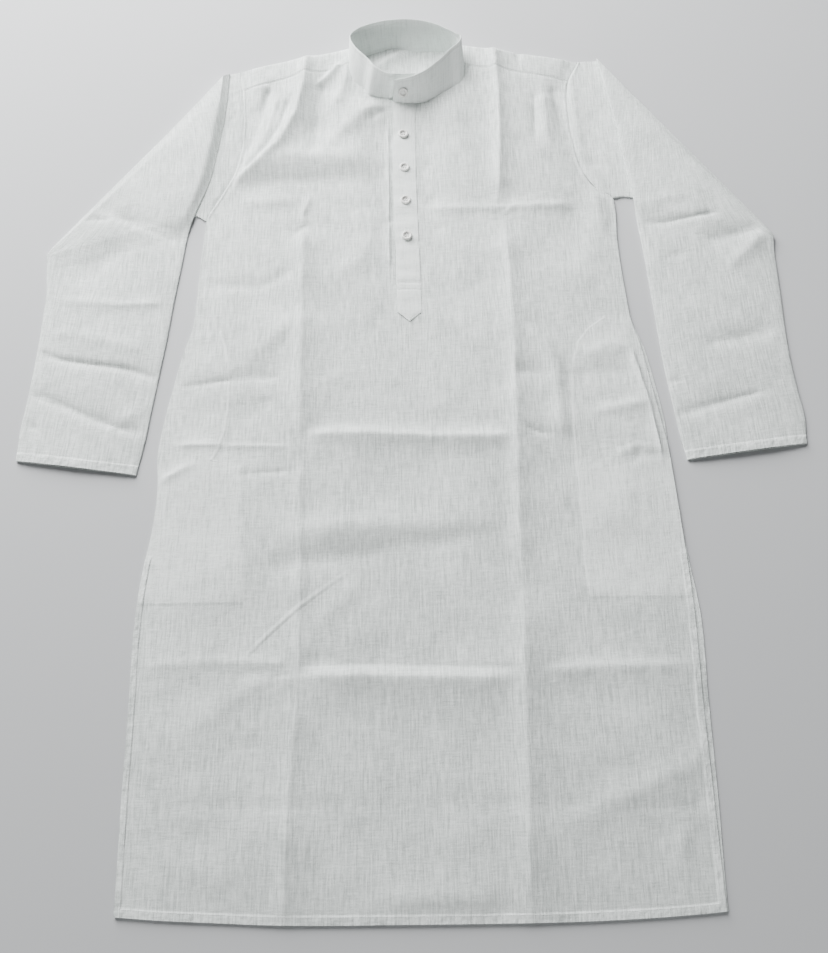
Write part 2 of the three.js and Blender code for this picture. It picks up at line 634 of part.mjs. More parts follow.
/** The upper band of the placket ends in a point on the front. */
function makeOverPlacket() {
  const lean = 4; // its lower end lies this much further right
  const heights = [PLACKET_END, PLACKET_SHOULDER, 695, SLASH_END, 735, 762, 790, 812, 828, 850, 876, 905, 940, 970, PLACKET_TOP];
  const sheet = heights.map((y, row) => {
    const middle = PLACKET_MIDDLE + lean * (1 - smoothstep(y, PLACKET_END, 900));
    return [-0.5, -0.25, 0, 0.25, 0.5].map((part) => {
      const tip = row === 0 ? 0.12 : 1; // the first row is the blunt tip of the point
      const x = middle + part * PLACKET_WIDTH * tip;
      return flatNode(x, y, placketUnderside(x, y));
    });
  });
  return meshOf("placket_over", wallOf(sheet), cotton("placket"));
}

// ---- Collar band ----

/** A closed strip of stiff cloth along the rows' smooth curves, with a middle line for its curve. */
function makeBand() {
  const curveOf = (...columns) => {
    const points = BAND_ROWS.map((row) => new THREE.Vector3(...columns.map((column) => row[column])));
    return new THREE.CatmullRomCurve3(points, false, "centripetal");
  };
  const seam = curveOf("seamX", "seamY", "seamZ");
  const rim = curveOf("rimX", "rimY", "rimZ");
  const heights = [0, 0.34, 0.67, 1];
  const sheet = heights.map(() => []);
  for (let step = 0; step <= BAND_STEPS; step++) {
    const part = step / BAND_STEPS;
    const low = seam.getPoint(part);
    const high = rim.getPoint(part);
    const along = seam.getTangent(part).add(rim.getTangent(part)).normalize();
    const out = new THREE.Vector3().crossVectors(along, high.clone().sub(low)).normalize();
    out.multiplyScalar(BAND_THICKNESS / 2);
    heights.forEach((height, row) => {
      const middle = low.clone().lerp(high, height);
      sheet[row].push({ face: middle.clone().add(out), reverse: middle.clone().sub(out) });
    });
  }
  return meshOf("collar_band", wallOf(sheet), cotton("collar"));
}

// ---- Pocket bags ----

function makeBag(name, rows, side) {
  const sheet = rows.map((row) =>
    Array.from({ length: BAG_COLUMNS + 1 }, (_, column) => {
      const x = side * lerp(row.outer, row.inner, column / BAG_COLUMNS);
      return flatNode(x, row.y, LAYER, BAG_THICKNESS);
    }),
  );
  return meshOf(name, wallOf(sheet), cotton("pocket"));
}

// ---- Sleeves ----

/** A point part of the way along a line of points, by equal steps from point to point. */
function alongPoints(points, part) {
  const place = clamp(part, 0, 1) * (points.length - 1);
  const start = Math.min(Math.floor(place), points.length - 2);
  return [
    lerp(points[start].x, points[start + 1].x, place - start),
    lerp(points[start].y, points[start + 1].y, place - start),
  ];
}

/**
 * One section round a flattened sleeve. place(part) gives the ground point between the section's two
 * ends, and lay(x, y, part, height) puts a point of the stacked layers where it really lies.
 */
function sleeveSection(place, length, lay) {
  const inset = CLOTH / length;
  const parts = Array.from({ length: SLEEVE_COLUMNS + 1 }, (_, column) => column / SLEEVE_COLUMNS);
  const stack = (part, outer, inner) => {
    const insetPart = clamp(part, inset, 1 - inset);
    return { face: lay(...place(part), part, outer), reverse: lay(...place(insetPart), insetPart, inner) };
  };
  const lower = parts.map((part) => stack(part, 0, CLOTH));
  const upper = [...parts].reverse().map((part) => stack(part, LAYER + CLOTH, LAYER));
  return [...lower, ...upper];
}

function makeSleeve(side) {
  const { lower, fold, upper, ridges } = SLEEVES[side];
  const stackHeight = LAYER + CLOTH;
  const turnHeight = stackHeight + FOLD_GAP / 2; // height of the axis that the cloth turns round
  const onGround = 2 * turnHeight - stackHeight; // what a turned layer comes down by past the lower part
  const foldLength = Math.hypot(fold.armX - fold.topX, fold.armY - fold.topY);
  const straight = (fromX, fromY, toX, toY) => (part) => [lerp(fromX, toX, part), lerp(fromY, toY, part)];
  const foldLine = straight(fold.topX, fold.topY, fold.armX, fold.armY);
  const outward = Math.sign(fold.armX);
  const outX = (outward * (fold.topY - fold.armY)) / foldLength;
  const outY = (outward * (fold.armX - fold.topX)) / foldLength;
  const armhole = ARMHOLES[side].map(({ x, y }) => ({ x: x + outward * ARMHOLE_GAP, y })).reverse();

  const flat = (x, y, _part, height) => new THREE.Vector3(x, y, height);
  const sections = [sleeveSection((part) => alongPoints(armhole, part), foldLength, flat)];
  for (const row of lower) {
    const place = straight(row.topX, row.topY, row.armX, row.armY);
    sections.push(sleeveSection(place, foldLength, flat));
  }
  for (let step = 0; step <= FOLD_STEPS; step++) {
    const turn = (Math.PI * step) / FOLD_STEPS;
    const lay = (x, y, _part, height) => {
      const radius = turnHeight - height;
      const push = radius * Math.sin(turn);
      return new THREE.Vector3(x + outX * push, y + outY * push, turnHeight - radius * Math.cos(turn));
    };
    sections.push(sleeveSection(foldLine, foldLength, lay));
  }
  for (const row of upper) {
    const place = straight(row.innerX, row.innerY, row.outerX, row.outerY);
    const length = Math.hypot(row.outerX - row.innerX, row.outerY - row.innerY);
    const base = row.lies === "on ground" ? -onGround : 0;
    const lay = (x, y, part, height) => {
      const puff = foldsHeight(ridges, x, y) * (height < LAYER ? 1 : 0.5);
      const lift = row.raise * (1 - part) ** 3;
      return new THREE.Vector3(x, y, 2 * turnHeight - height + base + lift + puff);
    };
    sections.push(sleeveSection(place, length, lay));
  }
  return meshOf(`sleeve_${side}`, wallOf(sections, { ring: true }), cotton("sleeve"));
}

// ---- Buttons ----

const manifold = await Module();
manifold.setup();

/** A manifold-3d solid of a closed geometry. */
function solidOf(geometry) {
  const plain = geometry.clone();
  plain.deleteAttribute("normal");
  plain.deleteAttribute("uv");
  const merged = mergeVertices(plain, 1e-4);
  return new manifold.Manifold(
    new manifold.Mesh({
      numProp: 3,
      vertProperties: new Float32Array(merged.attributes.position.array),
      triVerts: new Uint32Array(merged.index.array),
    }),
  );
}

/** A dished shirt button with a raised rim and four holes, lying on z = 0 with its face up. */
function buttonGeometry() {
  const radius = BUTTON_DIAMETER / 2;
  const rimInner = radius - BUTTON_RIM;
  const profile = [
    [0, 0],
    [radius - 1, 0],
    [radius, 0.8],
    [radius, BUTTON_THICKNESS - 0.5],
    [radius - 0.7, BUTTON_THICKNESS],
    [rimInner, BUTTON_THICKNESS - 0.2],
    [rimInner - 0.9, BUTTON_THICKNESS - BUTTON_DISH],
    [0, BUTTON_THICKNESS - BUTTON_DISH],
  ].map(([across, up]) => new THREE.Vector2(across, up));
  const body = new THREE.LatheGeometry(profile, BUTTON_SIDES);
  body.rotateX(Math.PI / 2);
  let solid = solidOf(body);
  for (const [alongX, alongY] of [[1, 1], [-1, 1], [-1, -1], [1, -1]]) {
    const hole = new THREE.CylinderGeometry(BUTTON_HOLE / 2, BUTTON_HOLE / 2, 3 * BUTTON_THICKNESS, 6);
    hole.rotateX(Math.PI / 2);
    hole.translate((alongX * BUTTON_HOLE_PITCH) / 2, (alongY * BUTTON_HOLE_PITCH) / 2, 0);
    solid = solid.subtract(solidOf(hole));
  }
  const { vertProperties, triVerts } = solid.getMesh();
  const geometry = new THREE.BufferGeometry();
  geometry.setAttribute("position", new THREE.Float32BufferAttribute(vertProperties, 3));
  geometry.setIndex([...triVerts]);
  geometry.computeVertexNormals();
  return geometry;
}

function makeButtons(button) {
  const buttons = PLACKET_BUTTONS.map(({ name, x, y }) => {
    const mesh = meshOf(name, button, plastic());
    const reach = BUTTON_DIAMETER / 2;
    const under = Math.max(...[-reach, 0, reach].map((step) => placketUnderside(x, y + step)));
    mesh.position.set(x, y, under + LAYER);
    return mesh;
  });
  const [outerEnd, next] = BAND_ROWS;
  const part = COLLAR_BUTTON.height;
  const y = lerp(lerp(outerEnd.seamY, next.seamY, 0.9), lerp(outerEnd.rimY, next.rimY, 0.8), part);
  const z = lerp(outerEnd.seamZ, outerEnd.rimZ, part);
  const lean = Math.atan2(outerEnd.rimY - outerEnd.seamY + 2, outerEnd.rimZ - outerEnd.seamZ);
  const onBand = meshOf(COLLAR_BUTTON.name, button, plastic());
  const clear = BAND_THICKNESS / 2 + 2 * GAP;
  onBand.rotation.x = Math.PI / 2 - lean;
  onBand.position.set(COLLAR_BUTTON.x, y - clear * Math.cos(lean), z + clear * Math.sin(lean));
  return [onBand, ...buttons];
}

// ---- The garment ----

const kurta = new THREE.Group();
kurta.name = "kurta";
kurta.add(
  makeBack(),
  makeFront(),
  makeYoke(),
  makeSleeve("left"),
  makeSleeve("right"),
  makeBand(),
  makeUnderPlacket(),
  makeOverPlacket(),
  makeBag("pocket_bag_left", BAG_ROWS.left, -1),
  makeBag("pocket_bag_right", BAG_ROWS.right, 1),
  ...makeButtons(buttonGeometry()),
);

// The origin is the middle of the garment's footprint, on the surface that it lies on.
const bounds = new THREE.Box3().setFromObject(kurta);
const centre = bounds.getCenter(new THREE.Vector3());
kurta.position.set(-centre.x, -centre.y, -bounds.min.z);

export default kurta;
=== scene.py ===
"""A man's white slub-cotton kurta, laid out flat on its back with its hem towards -Y.

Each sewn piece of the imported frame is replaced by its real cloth: thin double-faced sheets with soft
creases, turned hems and seam lines. The places in the tables are millimetres from the middle of the
hem, as in the part's source, and `placed` turns them into the frame's metres.
"""

import math

import bpy
import numpy as np
from mathutils import Matrix, Vector


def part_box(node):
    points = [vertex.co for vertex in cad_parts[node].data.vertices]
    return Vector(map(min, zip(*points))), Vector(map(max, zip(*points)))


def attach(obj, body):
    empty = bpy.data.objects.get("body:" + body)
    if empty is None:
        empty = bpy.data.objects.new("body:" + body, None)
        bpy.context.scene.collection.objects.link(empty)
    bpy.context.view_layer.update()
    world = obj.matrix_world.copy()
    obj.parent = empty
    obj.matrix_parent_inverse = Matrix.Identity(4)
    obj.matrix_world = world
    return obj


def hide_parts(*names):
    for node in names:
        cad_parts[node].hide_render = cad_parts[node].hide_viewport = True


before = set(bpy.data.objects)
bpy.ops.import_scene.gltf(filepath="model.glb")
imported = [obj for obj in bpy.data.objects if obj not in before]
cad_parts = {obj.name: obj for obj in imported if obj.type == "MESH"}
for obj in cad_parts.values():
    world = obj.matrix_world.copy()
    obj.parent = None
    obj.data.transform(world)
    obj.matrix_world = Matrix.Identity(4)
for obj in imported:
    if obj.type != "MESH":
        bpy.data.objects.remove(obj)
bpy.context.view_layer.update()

# ---- The frame ----

MM = 0.001
BACK_LOW_X, BACK_LOW_Y = -313.0, -12.0  # the back's lowest corner in the tables' places
back_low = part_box("back_body")[0]
SHIFT = np.array([back_low.x / MM - BACK_LOW_X, back_low.y / MM - BACK_LOW_Y, 0.0])


def placed(points):
    """Places of the tables, in the frame's metres."""
    return (np.asarray(points, float) + SHIFT) * MM


# ---- Sizes of the cloth ----

CLOTH = 0.7  # thickness of one layer
FRONT_TOP = 2.2  # height of the front's face where it lies flat
BACK_TOP = 0.8
PLACKET_STEP = 1.5  # the placket's face lies this much above the front's
SEAM_DIP = 0.55  # depth of the groove along a seam
HEM_STEP = 0.5  # a turned hem is this much thicker
BACK_RUMPLE = 0.5  # how far the back lifts off the floor along its folds
SLIT_TOP = 365
SLIT_HEM = 7
BOTTOM_HEM = 9
CUFF_HEM = 11
LOFT = 1.6  # air under the front, away from its edges
SHOULDER_LOFT = 3.2  # more of it round the shoulders
FRONT_LOWEST = 1.65  # the front's face where it rests on the back
ARMHOLE_RIDGE = 1.1  # the seam allowances under the armhole seams
BAG_LIFT = 0.7  # the front lies this much higher over a pocket bag
HEM_EDGE = 0.7  # width of the step where a turned hem ends

# Ripples of the cloth: height, pitch across, pitch along and seed.
FRONT_WAVES = ((1.9, 110, 80, 3), (0.8, 52, 36, 5))
FRONT_RUMPLE = ((0.22, 24, 15, 8), (0.12, 13, 17, 9))
STUB_RUMPLE = ((0.3, 40, 30, 51), (0.14, 16, 14, 52))
SLEEVE_WAVES = ((0.7, 90, 60, 61), (0.4, 40, 26, 62), (0.18, 16, 16, 63))

# ---- Tables of the cut, as it lies ----

# Side edges of the body below the armholes: y, left, right of the back, right of the front.
BODY = np.array([
    (-16, -309, 306, 304), (0, -309, 306, 304), (100, -311, 309, 304), (200, -312, 311, 304.5),
    (300, -313, 313, 306.5), (350, -309, 308, 305), (400, -302, 303.5, 303), (450, -300, 301, 300.5),
    (490, -303, 299, 298), (520, -300, 298, 294), (580, -290, 290, 285), (620, -282, 283, 279),
    (655, -273, 272, 270.5), (700, -270, 267, 266.5), (760, -268, 263.5, 263), (804, -265.5, 264, 264),
    (812, -265, 263, 263),
], float)

# Armhole seams from the armpit to the shoulder: x, y.
ARMHOLES = {
    "left": np.array([
        (-265, 812), (-248, 849), (-233.5, 879), (-226, 915), (-224.5, 965), (-228.5, 1020), (-233, 1052.5),
    ], float),
    "right": np.array([
        (263, 838), (243.5, 852), (226, 884), (217, 930), (213.5, 985), (217.5, 1028), (233, 1060),
    ], float),
}

# The bottom edge: x, y.
HEM = np.array([
    (-309, -3), (-258, -7), (-210, -9.5), (-161, -12), (-113, -13.3), (-18, -13.8), (78, -14),
    (150, -13.5), (198, -12.3), (246, -10.2), (295, -7), (306, -6),
], float)

# How the front's rows lie: the row at the placket, and its heights at the left and right edge.
CHEST = np.array([
    (0, 0, 0), (700, 700, 700), (740, 740, 744), (780, 780, 796), (812, 812, 838), (828, 828, 845),
    (850, 849, 852), (866, 864, 868), (884, 879, 884), (906, 897, 907), (928, 915, 930),
    (948, 940, 957), (970, 965, 985), (994, 985, 998), (1006, 998, 1007), (1020, 1006, 1015),
    (1038, 1014, 1022), (1053, 1020, 1028),
], float)

# The neck's edge on both sides: row, left x and y, right x and y.
NECK = np.array([
    (994, -21, 995, 5, 995), (1006, -42, 1006, 33, 1002), (1020, -63, 1021, 55, 1013),
    (1038, -77, 1036, 69, 1027), (1053, -79, 1053, 72, 1052),
], float)

# Crests of the two press folds: y, left x, right x.
PRESS = np.array([
    (-16, -138, 108), (105, -137, 112), (213, -132, 115), (356, -131, 119), (510, -135, 120),
    (640, -138, 124), (800, -140, 121), (860, -140, 116), (920, -146, 118), (1006, -147, 120),
    (1100, -146, 116),
], float)

SHOULDER = {"left": (-79, 1085), "right": (72, 1089)}  # neck end of the shoulder fold
NECK_BACK = np.array([
    (-79, 1082), (-60, 1083), (-48, 1086), (-33, 1092), (-19, 1094), (2, 1087), (35, 1087), (60, 1086),
    (72, 1085),
], float)  # the yoke's edge under the neck
YOKE_BACK = 1000
SLASH = (-21, 5)
SLASH_END = 712

PLACKET_MIDDLE = -8
PLACKET_WIDTH = 30
PLACKET_END = 662
PLACKET_SHOULDER = 675
PLACKET_TOP = 994

# The collar band: x, y, z of its seam edge and of its free edge, from the outer front end round the
# wearer's left side and the back to the end that lies inside.
BAND = np.array([
    (-23, 991.5, 4.5, -20, 1000, 40.5), (-6, 990.5, 4.5, -4, 1003.5, 40.5), (14, 992.5, 4.5, 14, 1011, 40.5),
    (42, 1002.5, 4.5, 41, 1035, 39.5), (57, 1011, 4.5, 57, 1055, 38.2), (70, 1018, 4.5, 70.2, 1070, 37.2),
    (72.5, 1021, 4.5, 71, 1073.5, 36.8), (76, 1056, 3.5, 64, 1081, 37), (68, 1080, 1.2, 51, 1089.5, 37),
    (35, 1085, 0.8, 30, 1100.5, 37), (2, 1086, 0.8, 0, 1106.5, 37), (-19, 1091.5, 0.8, -19, 1106, 37),
    (-33, 1089, 0.8, -33, 1104.5, 37), (-48, 1083, 0.9, -52, 1099.5, 37), (-66, 1074, 1.6, -69, 1091, 37.5),
    (-79, 1057, 4, -79, 1078.5, 38), (-82, 1037, 4.5, -75, 1064, 38.4), (-70, 1017, 4.5, -60, 1044, 39),
    (-50, 1001, 4.5, -43, 1023.5, 39.3), (-34, 998, 4, -30, 1014.5, 38.2), (-18, 1000, 4, -14, 1014.5, 36.6),
    (7, 1001, 4, 8, 1017, 34),
], float)
BAND_THICKNESS = 1.4
BAND_WIDTH = 38.0

# Pocket bags: y, distance of the outer and the inner edge from the middle line.
BAGS = {
    "left": np.array([
        (313, 306, 194), (350, 303, 196), (400, 297, 199), (450, 296, 202), (474, 297, 203), (481, 298, 238),
        (496, 297, 231), (520, 295, 225), (550, 290, 222), (583, 284, 223), (610, 279, 225), (628, 275, 229),
        (648, 272, 236),
    ], float),
    "right": np.array([
        (313, 298, 191), (350, 298, 190), (400, 296, 190), (450, 294, 189), (500, 291, 188), (550, 285, 189),
        (600, 277, 193), (628, 271, 201), (648, 266, 216), (662, 263, 236),
    ], float),
}
BAG_FOLD_SHADE = -0.239  # where a painted shade line runs down the left bag for a fold in it, in metres from the middle line
BAG_STEP = 0.475  # above this height a bag shows less

# Sleeves: two sections of the part next to the armhole, the slanted fold, and the sections of the part
# that is turned back (inner x, y, outer x, y, how far the inner edge stands up).
SLEEVES = {
    "left": {
        "lower": [(-238, 1051, -290, 820), (-242, 1050, -370, 798)],
        "fold": (-247, 1048.5, -465.5, 764),
        "fine": [(1.4, 4.3, 0.06), (6.9, 9.9, 0.045)],
        "upper": [
            (-249, 985, -465.8, 763, 10), (-255, 930, -465.8, 762.5, 10), (-264, 872, -465.6, 761.5, 8),
            (-281, 819, -465.4, 760.5, 4), (-288, 790, -463.5, 738, 0), (-293, 745, -460.5, 705, 0),
            (-299, 692, -461, 668, 0), (-304, 640, -462, 632, 0), (-310, 590, -464, 595, 0),
            (-316, 540, -467, 555, 0), (-320, 505, -470, 520, 0), (-327, 465, -470, 485, 0),
        ],
    },
    "right": {
        "lower": [(243, 1062, 290, 838), (252, 1062, 375, 813)],
        "fold": (259, 1063, 463, 776),
        "fine": [(2.2, 4.3, 0.05), (8.4, 10, 0.045)],
        "upper": [
            (267, 1010, 463, 774.5, 3), (276, 950, 462.8, 773.5, 3), (282, 892, 462.6, 772.5, 2),
            (289, 832, 462.4, 771.5, 1), (291, 806, 461.5, 748, 0), (295, 755, 461, 712, 0),
            (298, 702, 460, 674, 0), (301, 650, 459, 636, 0), (304, 600, 459.5, 598, 0),
            (309, 550, 462, 560, 0), (313, 512, 465, 526, 0), (319, 474, 462, 492, 0),
        ],
    },
}
SLEEVE_STACK = 2.3  # height of a flattened sleeve
FOLD_AXIS = 2.45  # the slanted fold turns round this height
RING_COUNT = 66  # places across one layer of a sleeve
ROWS_ON_SLEEVE = 4  # sections of the turned part that lie on the part below
SLEEVE_LOFT = 3.4  # air in a sleeve
EDGE_ROLL = 12  # width of the rolled inner edge where a sleeve is turned back

# ---- Creases ----

# Each crease is a line drawn upwards or to the right, the widths of its left or upper side and of its
# other side, its heights at both ends (a trough is negative), and how round it is along its middle.
CRISP, ROUND, WIDE = 0.7, 2.0, 6.0
FRONT_CREASES = [
    # the press fold on the wearer's left
    ([(108, -14), (112, 100), (115, 213), (119, 335)], (18, 34), (7.5, 7), ROUND),
    ([(118, 340), (119, 455), (122, 560), (124, 640), (121, 802)], (12, 30), (7, 7), ROUND),
    ([(114, 838), (118, 916), (120, 1006), (116, 1096)], (10, 20), (8, 11), ROUND),
    # the press fold on the wearer's right
    ([(-138, -14), (-137, 105), (-131, 213)], (16, 20), (6.5, 5), ROUND),
    ([(-130, 220), (-131, 360), (-135, 480)], (16, 14), (4, 4.5), CRISP),
    ([(-135, 496), (-137, 590), (-138, 694)], (22, 22), (7, 8.5), ROUND),
    ([(-138, 696), (-139, 808)], (14, 26), (9, 8), ROUND),
    ([(-141, 812), (-132, 845)], (6, 7), (4, 4), CRISP),
    # round the wearer's right shoulder
    ([(-262, 845), (-240, 866), (-206, 893), (-174, 926), (-153, 972), (-143, 1022), (-140, 1085)],
     (20, 18), (7, 14), ROUND),
    ([(-132, 900), (-128, 936), (-122, 986), (-117, 1036)], (12, 14), (-5, -6), WIDE),
    ([(-220, 914), (-207, 954), (-198, 987), (-190, 1024)], (6, 7), (-2, -8), ROUND),
    ([(-204, 912), (-188, 955), (-178, 1005)], (6, 6), (2, 4), ROUND),
    ([(-222, 886), (-192, 921), (-175, 954), (-162, 1000)], (5, 5), (-4, -4.5), ROUND),
    ([(-226, 894), (-170, 904), (-120, 907), (-40, 902)], (26, 20), (6, 7), 13.0),
    ([(-238, 864), (-185, 868), (-133, 872), (-60, 874)], (14, 16), (-4, -4), 10.0),
    ([(-243, 905), (-214, 950), (-207, 1000)], (14, 10), (-3.5, -3.5), WIDE),
    ([(-230, 838), (-180, 838), (-150, 842)], (9, 9), (1.8, 1.8), WIDE),
    ([(-130, 1018), (-111, 1036), (-92, 1058)], (5, 7), (6, 6), ROUND),
    ([(-100, 985), (-86, 1030), (-82, 1086)], (9, 9), (4, 7), ROUND),
    ([(-122, 902), (-94, 942), (-62, 976), (-30, 988)], (13, 13), (4, 6), WIDE),
    ([(-60, 962), (-46, 974), (-28, 982)], (4, 6), (-2.5, -3), ROUND),
    # round the wearer's left shoulder
    ([(166, 930), (170, 1006)], (5, 4), (-2.8, -3.2), CRISP),
    ([(183, 925), (182, 1008)], (10, 10), (3, 4), ROUND),
    ([(209, 948), (195, 1020)], (6, 6), (-4, -4), ROUND),
    ([(152, 1058), (150, 1088)], (6, 6), (-3, -3), ROUND),
    ([(249, 786), (236, 850)], (12, 10), (4, 4), WIDE),
    ([(211, 760), (209, 830)], (12, 12), (-3.5, -3.5), WIDE),
    ([(20, 824), (115, 824), (206, 827)], (10, 8), (2.2, 4), ROUND),
    ([(116, 813), (141, 832)], (3, 5), (4, 3), CRISP),
    ([(70, 900), (60, 985)], (18, 18), (2, 2.5), WIDE),
    # beside and under the placket
    ([(52, 668), (35, 705), (12, 752)], (10, 11), (-4, -3), WIDE),
    ([(-28.6, 740), (-28.6, 850), (-29, 950)], (7, 2), (2.5, 2.5), CRISP),
    ([(-30, 800), (-26, 812)], (5, 5), (-2, -2), ROUND),
    ([(14, 788), (42, 800)], (5, 7), (-2.4, -1.6), ROUND),
    ([(14, 832), (34, 846)], (5, 6), (-1.8, -1), ROUND),
    ([(14, 880), (30, 900)], (6, 6), (-1.6, -1), ROUND),
    ([(-100, 720), (-60, 760), (-40, 830)], (16, 16), (2.4, 2.4), WIDE),
    # cross folds of the packing
    ([(-135, 511), (-60, 512), (20, 507), (124, 505)], (9, 20), (7, 7), 4.0),
    ([(-140, 397), (-20, 399), (113, 396)], (24, 24), (6.5, 4.5), WIDE),
    ([(-170, 350), (-132, 360), (-42, 367), (30, 380), (96, 394)], (14, 14), (-4.2, -2.6), WIDE),
    ([(-20, 352), (115, 353)], (4, 4), (-1, -1), CRISP),
    ([(-133, 229), (-60, 230), (20, 227), (112, 224)], (8, 28), (8, 7.5), WIDE),
    ([(-133, 242), (-40, 242), (60, 238), (112, 237)], (5, 3), (-1.2, -1.2), CRISP),
    ([(-133, 249), (-80, 249)], (4, 3), (-2, -0.8), CRISP),
    ([(-300, 245), (-200, 248), (-138, 244)], (6, 12), (1.4, 3), ROUND),
    ([(126, 232), (210, 236), (295, 236)], (9, 24), (5, 4), 4.0),
    ([(-265, 101), (-130, 99), (10, 97), (295, 93)], (5, 4), (-1.4, -1), CRISP),
    ([(130, 70), (217, 106), (296, 138)], (20, 34), (2, 8), ROUND),
    ([(225, 94), (296, 98)], (3, 4), (-1.5, -2.5), CRISP),
    ([(262, 35), (270, 78)], (8, 8), (2.5, 3), WIDE),
    ([(-50, 10), (20, 8), (90, 11)], (22, 13), (4.6, 4.6), ROUND),
    ([(-216, 144), (-195, 157), (-169, 163)], (4, 5), (-1.6, -2), CRISP),
    ([(-250, 170), (-190, 215), (-160, 232)], (12, 12), (2.2, 2.4), WIDE),
    ([(-110, 290), (-60, 335)], (10, 10), (2.4, 2.4), WIDE),
    # the wearer's right side
    ([(-262, 716), (-188, 716), (-150, 738)], (5, 6), (-3, -2.4), ROUND),
    ([(-154, 789), (-132, 802)], (4, 5), (-3, -2.4), CRISP),
    ([(-206, 606), (-172, 640), (-144, 674)], (26, 20), (4, 6), WIDE),
    ([(-285, 577), (-253, 581), (-220, 586), (-199, 590), (-166, 588)], (5, 6), (-1.6, -4.5), CRISP),
    ([(-198, 580), (-140, 578)], (3, 3), (1.2, 1.2), CRISP),
    ([(-215, 540), (-165, 556)], (9, 9), (-2.4, -2.4), WIDE),
    ([(-280, 500), (-228, 501)], (7, 6), (3, 3.4), CRISP),
    ([(-228, 500), (-145, 497)], (3, 4), (1.6, 1.8), CRISP),
    ([(-300, 455), (-267, 474), (-254, 477)], (4, 5), (3, 2), CRISP),
    ([(-208, 463), (-146, 467)], (5, 7), (-1.4, -2), ROUND),
    # over the wearer's left pocket
    ([(175, 500), (173, 592), (161, 628), (136, 656)], (13, 12), (5, 5), ROUND),
    ([(119, 592), (168, 587)], (12, 12), (-4.5, -2.6), WIDE),
    ([(129, 519), (158, 507)], (5, 5), (-2.6, -4.6), CRISP),
    ([(216, 536), (287, 550)], (8, 9), (3.4, 3.4), ROUND),
    ([(190, 588), (268, 590)], (8, 10), (-1.8, -1.8), WIDE),
    ([(264, 481), (300, 482)], (4, 4), (-2, -2), CRISP),
    ([(254, 468), (270, 498)], (5, 6), (-1.8, -2), ROUND),
    ([(258, 392), (262, 468)], (4, 4), (-1, -1), ROUND),
    ([(205, 610), (240, 622), (268, 620)], (9, 9), (2.4, 2.6), ROUND),
    ([(290, 476), (282, 545), (266, 622)], (4, 3), (4, 4), CRISP),
    ([(232, 478), (262, 492), (280, 488)], (4, 5), (2.2, 2.2), ROUND),
]
BACK_CREASES = [
    ([(106, -14), (119, 350), (122, 700), (118, 1000)], (8, 8), (1, 1), ROUND),
    ([(-133, -14), (-131, 350), (-138, 700), (-145, 1000)], (8, 8), (1, 1), ROUND),
    ([(-280, 512), (0, 514), (280, 509)], (9, 9), (1, 1), ROUND),
    ([(-280, 236), (0, 233), (280, 238)], (9, 9), (0.9, 0.9), ROUND),
]
SLEEVE_CREASES = {
    "left": [
        ([(-406, 838), (-374, 814), (-337, 800), (-286, 780)], (13, 6), (-3.4, -6.4), CRISP),
        ([(-426, 815), (-387, 813)], (4, 4), (-3, -2), CRISP),
        ([(-432, 716), (-397, 750), (-360, 786)], (26, 28), (-4.5, -3.5), WIDE),
        ([(-442, 698), (-363, 689), (-316, 691)], (5, 7), (2, 2.6), ROUND),
        ([(-460, 628), (-432, 616), (-401, 610), (-370, 606), (-345, 601), (-306, 587)],
         (4.5, 7), (-4, -5), CRISP),
        ([(-463, 570), (-426, 556), (-394, 541), (-357, 526), (-320, 516)], (9, 5), (-4.2, -4.8), CRISP),
        ([(-450, 655), (-380, 640), (-320, 625)], (14, 12), (2.6, 2.2), WIDE),
        ([(-365, 520), (-330, 545)], (9, 9), (2.4, 2.4), WIDE),
        ([(-464, 532), (-446, 523)], (4, 4), (-2.6, -2), CRISP),
        ([(-445, 655), (-452, 690)], (5, 5), (2, 2), ROUND),
    ],
    "right": [
        ([(288, 797), (327, 799), (393, 811)], (5, 5), (-2, -4.4), CRISP),
        ([(372, 768), (452, 790)], (10, 9), (-3, -4.4), WIDE),
        ([(321, 747), (352, 752)], (4, 4), (-2.6, -2.4), CRISP),
        ([(395, 727), (416, 746), (450, 779)], (10, 9), (2.8, 4), WIDE),
        ([(352, 621), (446, 643)], (12, 9), (-2.4, -4), WIDE),
        ([(307, 528), (350, 541), (391, 552), (420, 559)], (8, 6), (-4.6, -2.6), CRISP),
        ([(305, 575), (323, 575)], (4, 4), (-3, -2), CRISP),
        ([(300, 826), (360, 838)], (12, 10), (2.4, 2.4), WIDE),
    ],
}
# The part of each sleeve next to the armhole.
STUB_CREASES = {
    "left": [
        ([(-248, 1003), (-229, 1018)], (3, 3.5), (-1.6, -1.2), CRISP),
        ([(-248, 986), (-228, 1005)], (3, 3.5), (-1.6, -1.4), CRISP),
        ([(-246, 966), (-226, 990)], (3.5, 4), (-1.6, -1.4), CRISP),
        ([(-280, 828), (-247, 852)], (5, 5), (1.8, 1.8), ROUND),
        ([(-274, 818), (-252, 834)], (4, 4), (-1.4, -1.4), ROUND),
    ],
    "right": [
        ([(245, 905), (243, 937), (252, 980)], (9, 10), (-1.4, -1.4), WIDE),
        ([(228, 889), (251, 892)], (4, 5), (-1.4, -1.4), ROUND),
        ([(250, 852), (281, 846)], (5, 6), (-1.6, -1.6), ROUND),
        ([(228, 930), (222, 1010)], (4, 6), (1.4, 1.4), ROUND),
    ],
}

# ---- Helpers for places ----


